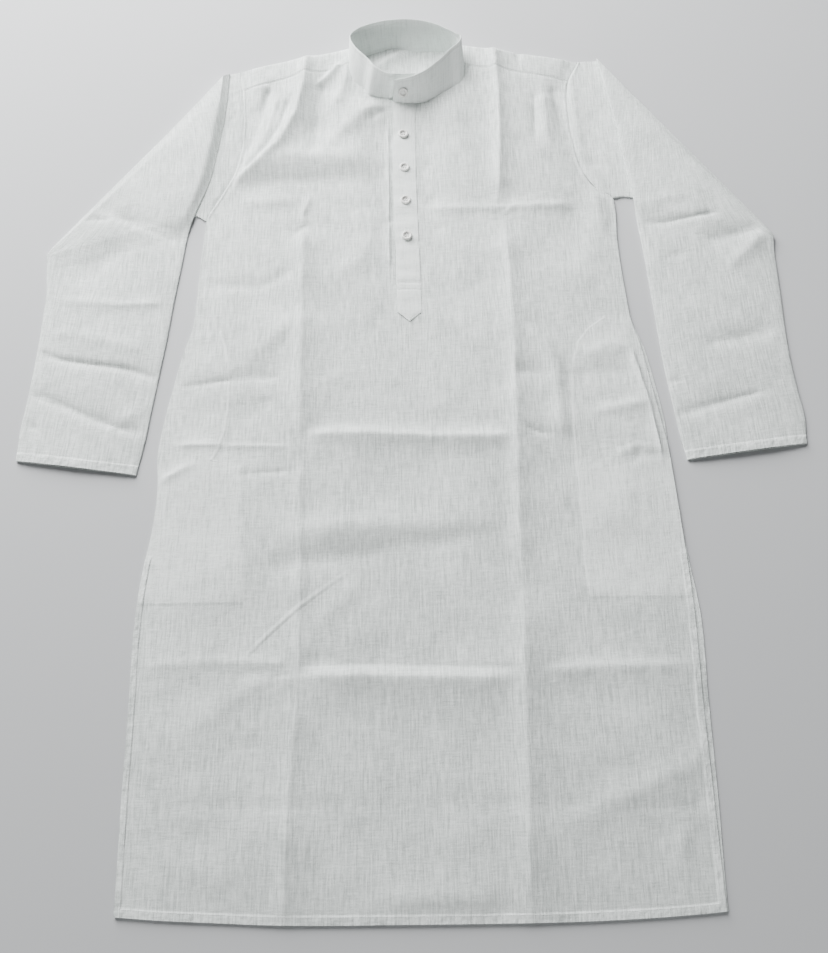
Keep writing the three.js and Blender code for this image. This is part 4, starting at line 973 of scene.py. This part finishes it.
def button_mesh():
    """A dished shirt button with a round rim and four holes, lying on z = 0, in millimetres."""
    profile = [
        (0, 0), (4.6, 0), (5.6, 0.3), (6.15, 0.85), (6.3, 1.4), (6.2, 1.95), (5.8, 2.4), (5.2, 2.62),
        (4.5, 2.62), (3.95, 2.36), (3.5, 1.85), (3.15, 1.3), (2.75, 1.0), (0, 0.9),
    ]
    sides = 64
    vertices, faces = [(0, 0, profile[0][1])], []
    turns = [math.tau * k / sides for k in range(sides)]
    for radius, height in profile[1:-1]:
        vertices += [(radius * math.cos(turn), radius * math.sin(turn), height) for turn in turns]
    vertices.append((0, 0, profile[-1][1]))
    rings = len(profile) - 2
    for k in range(sides):
        after = (k + 1) % sides
        faces.append((0, 1 + after, 1 + k))
        for ring in range(rings - 1):
            low, high = 1 + ring * sides, 1 + (ring + 1) * sides
            faces.append((low + k, low + after, high + after, high + k))
        last = 1 + (rings - 1) * sides
        faces.append((last + k, last + after, len(vertices) - 1))
    mesh = bpy.data.meshes.new("button")
    mesh.from_pydata(vertices, [], faces)
    body = bpy.data.objects.new("button_body", mesh)
    bpy.context.scene.collection.objects.link(body)
    cutters = []
    for along, up in ((1, 1), (-1, 1), (-1, -1), (1, -1)):
        bpy.ops.mesh.primitive_cylinder_add(
            vertices=20, radius=BUTTON_HOLE, depth=8, location=(along * HOLE_REACH, up * HOLE_REACH, 1))
        cutters.append(bpy.context.object)
    for cutter in cutters:
        cut = body.modifiers.new("hole", "BOOLEAN")
        cut.object, cut.operation, cut.solver = cutter, "DIFFERENCE", "EXACT"
    evaluated = body.evaluated_get(bpy.context.evaluated_depsgraph_get())
    holed = bpy.data.meshes.new_from_object(evaluated)
    for extra in cutters + [body]:
        bpy.data.objects.remove(extra)
    return holed


def thread_mesh(points, radius, sides=8):
    """A round thread along a line of places, in millimetres, closed at both ends."""
    points = np.asarray(points, float)
    along = unit(np.gradient(points, axis=0))
    side = unit(np.cross(along, [0.3, 0.2, 1.0]))
    up = np.cross(side, along)
    angle = (np.arange(sides) * math.tau / sides)[None, :, None]
    rings = points[:, None] + radius * (np.cos(angle) * side[:, None] + np.sin(angle) * up[:, None])
    vertices = rings.reshape(-1, 3).tolist()
    faces = [
        (r * sides + k, r * sides + (k + 1) % sides, (r + 1) * sides + (k + 1) % sides, (r + 1) * sides + k)
        for r in range(len(points) - 1) for k in range(sides)
    ]
    faces += [tuple(range(sides))[::-1], tuple((len(points) - 1) * sides + k for k in range(sides))]
    return vertices, faces


def button_thread():
    """Sewing thread through the holes: two bars side by side, and the shank under the button."""
    vertices, faces = [], []
    side_view = (
        (-1.5, -0.3), (-1.45, 0.7), (-1.1, 1.2), (-0.5, 1.38), (0, 1.42),
        (0.5, 1.38), (1.1, 1.2), (1.45, 0.7), (1.5, -0.3),
    )

    def add(points, radius):
        more, more_faces = thread_mesh(points, radius)
        base = len(vertices)
        vertices.extend(more)
        faces.extend(tuple(base + k for k in face) for face in more_faces)

    for side in (-1, 1):
        for strand in (-0.28, 0, 0.28):
            add([(HOLE_REACH * side + strand, y, z) for y, z in side_view], 0.17)
    add([(0, 0, -1.2), (0, 0, -0.6), (0, 0, 0.0), (0, 0, 0.3)], 1.3)
    mesh = bpy.data.meshes.new("button_thread")
    mesh.from_pydata(vertices, [], faces)
    return mesh


def place_button(name, body, thread):
    """Copies of the button and its thread where the frame has that button."""
    low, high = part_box(name)
    centre = (low + high) / 2
    if name == "button_1":
        seam, rim, _ = band_lines(np.linspace(0, 0.1, 61))
        at = int(np.abs(mix(seam, rim, 0.5)[:, 0] + SHIFT[0] - centre.x / MM).argmin())
        lean = math.atan2(rim[at, 1] - seam[at, 1], rim[at, 2] - seam[at, 2])
        stands_off = 0.9 + BAND_THICKNESS / 2 + BUTTON_HEIGHT / 2 - 0.1
        away = [0, -math.cos(lean) * stands_off, math.sin(lean) * stands_off]
        centre = Vector(placed(mix(seam[at], rim[at], 0.5) + away))
        turn = Matrix.Rotation(math.pi / 2 - lean, 4, "X")
    else:
        turn = Matrix.Identity(4)
    middle = Matrix.Translation((0, 0, -BUTTON_HEIGHT / 2))
    move = Matrix.Translation(centre) @ turn @ Matrix.Scale(BUTTON_SCALE * MM, 4) @ middle
    made = []
    for source, label in ((body, f"{name}_disc"), (thread, f"{name}_thread")):
        mesh = source.copy()
        mesh.transform(move)
        made.append(finished(label, mesh))
    return made


button_source, thread_source = button_mesh(), button_thread()
BUTTONS = [place_button(f"button_{k}", button_source, thread_source) for k in range(1, 6)]

# ---- Stitches ----


def stitch_tree(material):
    """Running stitches along lines: small rounded dashes of thread that lie on the cloth."""
    tree = bpy.data.node_groups.new("stitches", "GeometryNodeTree")
    face = tree.interface
    face.new_socket("Geometry", in_out="INPUT", socket_type="NodeSocketGeometry")
    sizes = {"Pitch": 0.0027, "Stitch length": 0.0020, "Thread thickness": 0.00038, "Unevenness": 0.1}
    for name, value in sizes.items():
        face.new_socket(name, in_out="INPUT", socket_type="NodeSocketFloat").default_value = value
    face.new_socket("Seed", in_out="INPUT", socket_type="NodeSocketInt").default_value = 7
    face.new_socket("Geometry", in_out="OUTPUT", socket_type="NodeSocketGeometry")
    nodes, links = tree.nodes, tree.links

    def add(kind, settings=None, **sockets):
        node = nodes.new(kind)
        for key, value in (settings or {}).items():
            setattr(node, key, value)
        for key, value in sockets.items():
            socket = node.inputs[int(key[1:]) if key[1:].isdigit() else key.replace("_", " ")]
            if isinstance(value, bpy.types.NodeSocket):
                links.new(value, socket)
            else:
                socket.default_value = value
        return node

    def maths(operation, *values):
        sockets = {f"i{k}": value for k, value in enumerate(values)}
        return add("ShaderNodeMath", {"operation": operation}, **sockets).outputs[0]

    given = add("NodeGroupInput").outputs
    curve = add("GeometryNodeMeshToCurve", Mesh=given["Geometry"])
    points = add("GeometryNodeCurveToPoints", {"mode": "LENGTH"}, Curve=curve.outputs[0], Length=given["Pitch"])
    dash = add("GeometryNodeMeshCylinder", {"fill_type": "NGON"},
               Vertices=6, Side_Segments=3, Fill_Segments=1, Radius=0.5, Depth=1.0)
    height = add("ShaderNodeSeparateXYZ", Vector=add("GeometryNodeInputPosition").outputs[0]).outputs["Z"]
    shrink = maths("MULTIPLY_ADD", maths("MULTIPLY", height, height), -2.2, 1.0)
    scale = add("ShaderNodeCombineXYZ", X=shrink, Y=shrink, Z=1.0).outputs[0]
    position = add("GeometryNodeInputPosition").outputs[0]
    shaped = add("ShaderNodeVectorMath", {"operation": "MULTIPLY"}, i0=position, i1=scale).outputs[0]
    rounded = add("GeometryNodeSetPosition", Geometry=dash.outputs["Mesh"], Position=shaped).outputs[0]
    smooth_dash = add("GeometryNodeSetShadeSmooth", Geometry=rounded).outputs[0]
    turned = add("FunctionNodeAlignRotationToVector", {"axis": "Z"}, Vector=points.outputs["Tangent"])
    uneven = add("FunctionNodeRandomValue", {"data_type": "FLOAT"}, Seed=given["Seed"])
    spread = maths("MULTIPLY", given["Unevenness"], uneven.outputs[1])
    length = maths("MULTIPLY", given["Stitch length"], maths("SUBTRACT", 1.05, spread))
    thickness = given["Thread thickness"]
    size = add("ShaderNodeCombineXYZ", X=thickness, Y=thickness, Z=length).outputs[0]
    placed_dashes = add("GeometryNodeInstanceOnPoints", Points=points.outputs["Points"], Instance=smooth_dash,
                        Rotation=turned.outputs[0], Scale=size).outputs[0]
    real = add("GeometryNodeRealizeInstances", Geometry=placed_dashes).outputs[0]
    done = add("GeometryNodeSetMaterial", Geometry=real, Material=material).outputs[0]
    links.new(done, add("NodeGroupOutput").inputs[0])
    return tree


def seam_lines():
    """Every line of stitches, as places just above the cloth."""
    lines = []
    above = 0.03

    def on_front(x, y):
        x, y = np.broadcast_arrays(np.asarray(x, float), np.asarray(y, float))
        return np.stack([x, y, front_face(x, y) + above], -1)

    def add(points):
        lines.append(np.asarray(points, float))

    xs = np.arange(-300, 300, 4.0)
    add(on_front(xs, hem_at(xs) + BOTTOM_HEM - 1.5))
    ys = np.arange(2, SLIT_TOP, 4.0)
    add(on_front(edge_at(LEFT_EDGE, ys) + SLIT_HEM - 1.5, ys))
    add(on_front(edge_at(RIGHT_EDGE, ys) - SLIT_HEM + 1.5, ys))
    add(np.stack([edge_at(BACK_RIGHT_EDGE, ys) - SLIT_HEM + 4.5, ys, np.full(ys.shape, BACK_TOP + 0.3)], -1))
    ys = np.arange(ARMHOLES["left"][1, 1] + 4, CHEST[-1, 1] - 2, 3.0)
    add(on_front(edge_at(LEFT_EDGE, ys) + 5.5, ys))
    ys = np.arange(ARMHOLES["right"][1, 1] + 12, CHEST[-1, 2] - 2, 3.0)
    add(on_front(edge_at(RIGHT_EDGE, ys) - 5.5, ys))
    part = np.linspace(0.03, 0.97, 60)
    for side in ("left", "right"):
        neck_x, neck_y, arm_x, arm_y = yoke_seam(side)
        add(on_front(mix(neck_x, arm_x, part), mix(neck_y, arm_y, part) + 2.6))
    for sign in (-1, 1):
        ys = np.arange(PLACKET_SHOULDER + 1, PLACKET_TOP - 1, 4.0)
        x = placket_middle(ys) + sign * (PLACKET_WIDTH / 2 - 2)
        add(np.stack([x, ys, placket_face(x, ys) + above], -1))
        tip = np.linspace(0, 1, 7)
        shoulder_x = placket_middle(PLACKET_SHOULDER) + sign * (PLACKET_WIDTH / 2 - 2)
        x = mix(shoulder_x, placket_middle(PLACKET_END), tip)
        y = mix(PLACKET_SHOULDER + 1, PLACKET_END + 2.6, tip)
        add(np.stack([x, y, placket_face(x, y) + above + 0.1], -1))
    for height in (706, 714.5):
        x = placket_middle(height) + np.linspace(-13, 13, 9)
        y = np.full(x.shape, float(height))
        add(np.stack([x, y, placket_face(x, y) + above + 0.05], -1))
    for surface in (left_surface, right_surface):
        tail = np.linalg.norm(np.diff(surface[:, RING_COUNT // 2], axis=0)[::-1], axis=1).cumsum()
        row = len(surface) - 2 - int(np.argmax(tail > CUFF_HEM - 1.5))
        ring = surface[row]
        add(ring[3 : RING_COUNT - 3] + [0, 0, above])
    steps = np.linspace(0.01, 0.99, 170)
    seam, rim, _, out, sway = band_frame(steps)
    for up in (height / BAND_WIDTH for height in BAND_STITCHES):
        bulge = BAND_BULGE * math.sin(math.pi * up)
        wave = sway * math.sin(math.pi * up)
        middle = mix(seam, rim, up) + out * (wave + bulge)[:, None]
        for face in (-1, 1):
            add(middle + face * out * (BAND_THICKNESS / 2 - 0.2))
    return lines


def sew(material):
    vertices, edges = [], []
    for line in seam_lines():
        base = len(vertices)
        vertices.extend(placed(line).tolist())
        edges.extend((base + k, base + k + 1) for k in range(len(line) - 1))
    mesh = bpy.data.meshes.new("seam_lines")
    mesh.from_pydata(vertices, edges, [])
    lines = bpy.data.objects.new("seam_lines", mesh)
    bpy.context.scene.collection.objects.link(lines)
    sewing = lines.modifiers.new("stitches", "NODES")
    sewing.node_group = stitch_tree(material)
    evaluated = lines.evaluated_get(bpy.context.evaluated_depsgraph_get())
    made = bpy.data.meshes.new_from_object(evaluated)
    made.name = "stitches"
    piece = bpy.data.objects.new("stitches", made)
    bpy.context.scene.collection.objects.link(piece)
    bpy.data.objects.remove(lines)
    return piece


# ---- Materials ----


class Value:
    """A socket of a shader; arithmetic on it adds Math nodes."""

    def __init__(self, shop, socket):
        self.shop, self.socket = shop, socket

    def __add__(self, other):
        return self.shop.maths("ADD", self, other)

    def __sub__(self, other):
        return self.shop.maths("SUBTRACT", self, other)

    def __rsub__(self, other):
        return self.shop.maths("SUBTRACT", other, self)

    def __mul__(self, other):
        return self.shop.maths("MULTIPLY", self, other)

    def __truediv__(self, other):
        return self.shop.maths("DIVIDE", self, other)

    __radd__ = __add__
    __rmul__ = __mul__

    def __abs__(self):
        return self.shop.maths("ABSOLUTE", self)


class Shop:
    """Builds one material."""

    def __init__(self, name):
        self.material = bpy.data.materials.new(name)
        self.material.use_nodes = True
        self.tree = self.material.node_tree
        self.tree.nodes.clear()
        self.surface = self.tree.nodes.new("ShaderNodeBsdfPrincipled")
        output = self.tree.nodes.new("ShaderNodeOutputMaterial")
        self.tree.links.new(self.surface.outputs[0], output.inputs["Surface"])

    def put(self, socket, value):
        if isinstance(value, Value):
            self.tree.links.new(value.socket, socket)
        else:
            socket.default_value = value

    def node(self, kind, settings=None, sockets=None, output=0):
        node = self.tree.nodes.new(kind)
        for key, value in (settings or {}).items():
            if key == "stops":
                ramp = node.color_ramp
                while len(ramp.elements) < len(value):
                    ramp.elements.new(0.5)
                for element, (place, level) in zip(ramp.elements, value):
                    element.position = place
                    element.color = (level, level, level, 1)
            else:
                setattr(node, key, value)
        for key, value in (sockets or {}).items():
            self.put(node.inputs[key], value)
        return Value(self, node.outputs[output])

    def maths(self, operation, *values):
        return self.node("ShaderNodeMath", {"operation": operation}, dict(enumerate(values)))

    def set(self, **values):
        for key, value in values.items():
            self.put(self.surface.inputs[key.replace("_", " ")], value)

    def noise(self, vector, scale, detail=2.0, roughness=0.5):
        sockets = {"Vector": vector, "Scale": scale, "Detail": detail, "Roughness": roughness}
        return self.node("ShaderNodeTexNoise", {"normalize": True}, sockets)

    def ramp(self, value, *stops):
        return self.node("ShaderNodeValToRGB", {"stops": stops}, {"Fac": value})

    def range(self, value, low, high, to_low=0.0, to_high=1.0, kind="SMOOTHSTEP"):
        sockets = {"Value": value, "From Min": low, "From Max": high, "To Min": to_low, "To Max": to_high}
        return self.node("ShaderNodeMapRange", {"interpolation_type": kind}, sockets)

    def colour(self, factor, a, b):
        return self.node("ShaderNodeMix", {"data_type": "RGBA"}, {"Factor": factor, 6: a, 7: b}, output=2)

    def scaled(self, vector, scale):
        return self.node("ShaderNodeVectorMath", {"operation": "MULTIPLY"}, {0: vector, 1: scale})


WHITE_COTTON = (0.840, 0.885, 0.862, 1)
SHADED_COTTON = (0.490, 0.528, 0.512, 1)
WEAVE_PITCH = 0.00075  # in metres, as everything below that a material reads


def cotton(name, pockets=False, slub=1.0, lift=0.0):
    """Hand-loomed slub cotton: uneven threads both ways, a fine plain weave and small rumples."""
    shop = Shop(name)
    cut = shop.node("ShaderNodeUVMap", {"uv_map": "cut"})
    u = shop.node("ShaderNodeSeparateXYZ", sockets={0: cut}, output=0)
    v = shop.node("ShaderNodeSeparateXYZ", sockets={0: cut}, output=1)
    hem = shop.node("ShaderNodeAttribute", {"attribute_name": "hem"}, output=2)
    warp = shop.noise(shop.scaled(cut, (600, 46, 1)), 1.0, 2.0, 0.6)
    weft = shop.noise(shop.scaled(cut, (60, 560, 1)), 1.0, 2.0, 0.6)
    long_warp = shop.noise(shop.scaled(cut, (400, 13, 1)), 1.0, 1.0)
    grain = shop.noise(shop.scaled(cut, (900, 900, 1)), 1.0, 1.0)
    cloud = shop.noise(cut, 17.0, 4.0, 0.6)
    threads = warp * 1.1 + weft * 0.5 + long_warp * 0.5 + grain * 0.4 - 1.25
    weave = shop.maths("SINE", u * (math.tau / WEAVE_PITCH)) * shop.maths("SINE", v * (math.tau / WEAVE_PITCH))
    shade = (0.5 + lift) + threads * (1.9 * slub) + (cloud - 0.5) * 0.8 + weave * 0.03
    shade = shade + hem * (0.1 + (cloud - 0.5) * 1.6)
    if pockets:
        # lighter tone over the bags, with painted highlights along their edges, a painted shadow below them and
        # painted shade down a fold
        pocket_tone_and_painted_light, pocket_edge = pocket_marks(shop, u, v)
        shade = shade + pocket_tone_and_painted_light
    tone = shop.range(shade, 0.0, 1.0, kind="LINEAR")
    shop.set(Base_Color=shop.colour(tone, SHADED_COTTON, WHITE_COTTON))
    shop.set(Roughness=shop.range(threads, -0.5, 0.5, 0.94, 0.82, "LINEAR"))
    rumple = shop.noise(shop.scaled(cut, (75, 130, 1)), 1.0, 3.0, 0.55)
    pucker = shop.noise(shop.scaled(cut, (150, 110, 1)), 1.0, 1.0)
    relief = rumple * 0.9 + threads * (0.6 * slub) + weave * 0.03 + pucker * hem * 2.6
    if pockets:
        relief = relief + long_crease(shop, u, v) + pocket_edge
    bump = shop.node("ShaderNodeBump", sockets={"Strength": 0.6, "Distance": 0.0011, "Height": relief})
    shop.set(Normal=bump, Specular_IOR_Level=0.25, Sheen_Weight=0.12, Sheen_Roughness=0.5)
    return shop.material


# A fine crease that bows across the front below the pockets: the middle and radius of its arc, and its ends.
BOW_MIDDLE, BOW_RADIUS = (0.205, -0.111), 0.536
BOW_ENDS = (-0.196, -0.055)


def long_crease(shop, u, v):
    """Height of the fine bowed crease."""
    x, y = u - BOW_MIDDLE[0], v - BOW_MIDDLE[1]
    off = shop.maths("SQRT", x * x + y * y) - BOW_RADIUS
    there = shop.range(u, BOW_ENDS[0], BOW_ENDS[0] + 0.03)
    there = there * shop.range(u, BOW_ENDS[1] - 0.09, BOW_ENDS[1], 1.0, 0.0)
    return shop.range(abs(off), 0.0, 0.0042, 1.25, 0.0) * there


def pocket_marks(shop, u, v):
    """The front is lighter over the bags, whose edges press through as thin ridges. These ridges are also
    painted lighter as a painted highlight, a painted shadow lies along each bag's lower edge, and a painted
    shade line stands for a fold down the left bag.
    """
    total, ridge = 0.0, 0.0
    for side, sign in (("left", -1), ("right", 1)):
        rows = BAGS[side]
        low, high = rows[0, 0], rows[-1, 0]
        stops = [((y - low) / (high - low), inner / 400) for y, _, inner in rows]
        part = shop.range(v, low * MM, high * MM, kind="LINEAR")
        inner = shop.ramp(part, *stops) * (400 * MM)
        across = u * sign - inner
        above = v - low * MM
        below = (high + 4) * MM - v
        nearest = shop.maths("MINIMUM", shop.maths("MINIMUM", across, above), below)
        strength = shop.range(v, BAG_STEP - 0.004, BAG_STEP + 0.004, 0.34, 0.12)
        over = shop.range(nearest, -0.0005, 0.0012) * strength
        # painted highlight: a lighter line along each bag's inner edge, whose same shape also makes the ridge
        # in the bump
        ridge_and_highlight = shop.range(abs(across - 0.001), 0.0, 0.0032, 0.4, 0.0)
        ridge_and_highlight = ridge_and_highlight * shop.range(v, low * MM, low * MM + 0.002)
        lower_part = shop.range(v, BAG_STEP, BAG_STEP + 0.006) if side == "left" else 1.0
        ridge_and_highlight = ridge_and_highlight * shop.range(below, 0.0, 0.002) * lower_part
        # painted shadow: a darker line along the step just below each bag's lower edge
        painted_shadow = shop.range(abs(above + 0.0015), 0.0, 0.003, 0.25, 0.0) * shop.range(across, -0.002, 0.002)
        total = over + ridge_and_highlight - painted_shadow + total
        ridge = ridge_and_highlight * (1.7 if side == "left" else 0.8) + ridge
    # painted shade: a darker line down the left bag where it is folded
    fold = shop.range(abs(u - BAG_FOLD_SHADE), 0.0, 0.004, 0.22, 0.0)
    total = total - fold * shop.range(v, 0.310, 0.316) * shop.range(v, BAG_STEP - 0.02, BAG_STEP, 1.0, 0.0)
    return total, ridge


def button_plastic():
    shop = Shop("button_plastic")
    place = shop.node("ShaderNodeTexCoord", output=3)
    cloud = shop.noise(place, 260.0, 2.0)
    shop.set(Base_Color=shop.colour(cloud, (0.70, 0.70, 0.67, 1), (0.80, 0.80, 0.775, 1)))
    shop.set(Roughness=shop.range(cloud, 0.2, 0.8, 0.26, 0.4, "LINEAR"), Coat_Weight=0.3, Coat_Roughness=0.15)
    fine = shop.noise(place, 900.0, 1.0)
    shop.set(Normal=shop.node("ShaderNodeBump", sockets={"Strength": 0.15, "Distance": 0.0002, "Height": fine}))
    return shop.material


def sewing_thread():
    shop = Shop("sewing_thread")
    place = shop.node("ShaderNodeTexCoord", output=3)
    twist = shop.noise(place, 2600.0, 1.0)
    shop.set(Base_Color=shop.colour(twist, (0.66, 0.68, 0.675, 1), (0.80, 0.815, 0.81, 1)), Roughness=0.7)
    shop.set(Normal=shop.node("ShaderNodeBump", sockets={"Strength": 0.4, "Distance": 0.0001, "Height": twist}))
    shop.set(Sheen_Weight=0.1)
    return shop.material


body_cotton = cotton("body_cotton")
front_cotton = cotton("front_cotton", pockets=True)
firm_cotton = cotton("firm_cotton", slub=0.6, lift=0.45)
thread = sewing_thread()
plastic = button_plastic()

stitches = sew(thread)

for piece, material in (
    (back, body_cotton), (front, front_cotton), (yoke, body_cotton), (sleeve_left, body_cotton),
    (sleeve_right, body_cotton), (collar, firm_cotton), (placket, firm_cotton), (underlay, firm_cotton),
    (pocket_left, body_cotton), (pocket_right, body_cotton),
):
    piece.data.materials.append(material)
for disc, strand in BUTTONS:
    disc.data.materials.append(plastic)
    strand.data.materials.append(thread)

# ---- Tie the pieces to the frame ----

# piece, slot, node, flat size of the cut, its area, how it lies, what it lies on
SHEETS = [
    (back, "cotton", "back_body", (0.66, 1.03), 0.64, "laid", []),
    (front, "cotton", "front_body", (0.66, 1.09), 0.66, "laid", [back]),
    (yoke, "cotton", "yoke", (0.48, 0.17), 0.058, "folded", [back]),
    (sleeve_left, "cotton", "sleeve_left", (0.50, 0.66), 0.25, "folded", []),
    (sleeve_right, "cotton", "sleeve_right", (0.50, 0.66), 0.25, "folded", []),
    (collar, "collar_cotton", "collar_band", (0.47, 0.045), None, "folded", [yoke, front]),
    (placket, "placket_cotton", "placket_over", (0.036, 0.34), None, "laid", [front]),
    (underlay, "placket_cotton", "placket_under", (0.032, 0.29), None, "laid", [back]),
    (pocket_left, "pocket_cotton", "pocket_bag_left", (0.13, 0.34), 0.034, "laid", [back]),
    (pocket_right, "pocket_cotton", "pocket_bag_right", (0.13, 0.36), 0.036, "laid", [back]),
]
for piece, slot_name, node, flat, area, held, below in SHEETS:
    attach(piece, "root")
    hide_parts(node)
for number, (disc, strand) in enumerate(BUTTONS, start=1):
    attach(disc, "root")
    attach(strand, "root")
    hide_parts(f"button_{number}")
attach(stitches, "root")

floor_mesh = bpy.data.meshes.new("floor")
FLOOR_HALF, FLOOR_DROP = 4, 0.0003  # metres
corners = [(x * FLOOR_HALF, y * FLOOR_HALF, -FLOOR_DROP) for x, y in ((-1, -1), (1, -1), (1, 1), (-1, 1))]
floor_mesh.from_pydata(corners, [], [(0, 1, 2, 3)])
floor = bpy.data.objects.new("floor", floor_mesh)
bpy.context.scene.collection.objects.link(floor)

# ---- Floor, light and camera ----

floor_shop = Shop("floor_paper")
floor_grain = floor_shop.noise(floor_shop.node("ShaderNodeTexCoord", output=3), 3.0, 2.0)
paper = floor_shop.colour(floor_grain, (0.47, 0.48, 0.49, 1), (0.50, 0.51, 0.52, 1))
floor_shop.set(Base_Color=paper, Roughness=0.9)
floor.data.materials.append(floor_shop.material)


def soft_light(name, place, towards, size, power):
    light = bpy.data.lights.new(name, "AREA")
    light.shape, light.size, light.energy = "SQUARE", size, power
    lamp = bpy.data.objects.new(name, light)
    lamp.location = placed(place)
    aim = Vector(placed(towards)) - lamp.location
    lamp.rotation_euler = aim.to_track_quat("-Z", "Y").to_euler()
    bpy.context.scene.collection.objects.link(lamp)


soft_light("window", (-840, 2260, 1010), (100, 1350, 0), 1.8, 208)
soft_light("fill", (300, -2600, 260), (0, 950, 20), 0.6, 70)
world = bpy.data.worlds.new("studio")
world.use_nodes = True
world.node_tree.nodes["Background"].inputs["Color"].default_value = (0.97, 0.985, 1.0, 1)
world.node_tree.nodes["Background"].inputs["Strength"].default_value = 0.16
bpy.context.scene.world = world

TILT, ROLL, YAW = math.radians(71.0), math.radians(0.97), math.radians(0.08)
level_right = Vector((math.cos(YAW), math.sin(YAW), 0))
forwards = Vector((-math.sin(YAW) * math.cos(TILT), math.cos(YAW) * math.cos(TILT), -math.sin(TILT)))
level_down = Vector((math.sin(YAW) * math.sin(TILT), -math.cos(YAW) * math.sin(TILT), -math.cos(TILT)))
right = math.cos(ROLL) * level_right + math.sin(ROLL) * level_down
down = -math.sin(ROLL) * level_right + math.cos(ROLL) * level_down
lens = bpy.data.cameras.new("camera")
lens.lens, lens.sensor_width, lens.sensor_fit = 34.0, 36.0, "AUTO"
camera = bpy.data.objects.new("camera", lens)
aimed = Matrix((right, -down, -forwards)).transposed().to_4x4()
camera.matrix_world = Matrix.Translation(placed((-1.2, 116.3, 994.9))) @ aimed
bpy.context.scene.collection.objects.link(camera)
bpy.context.scene.camera = camera

bpy.context.view_layer.update()
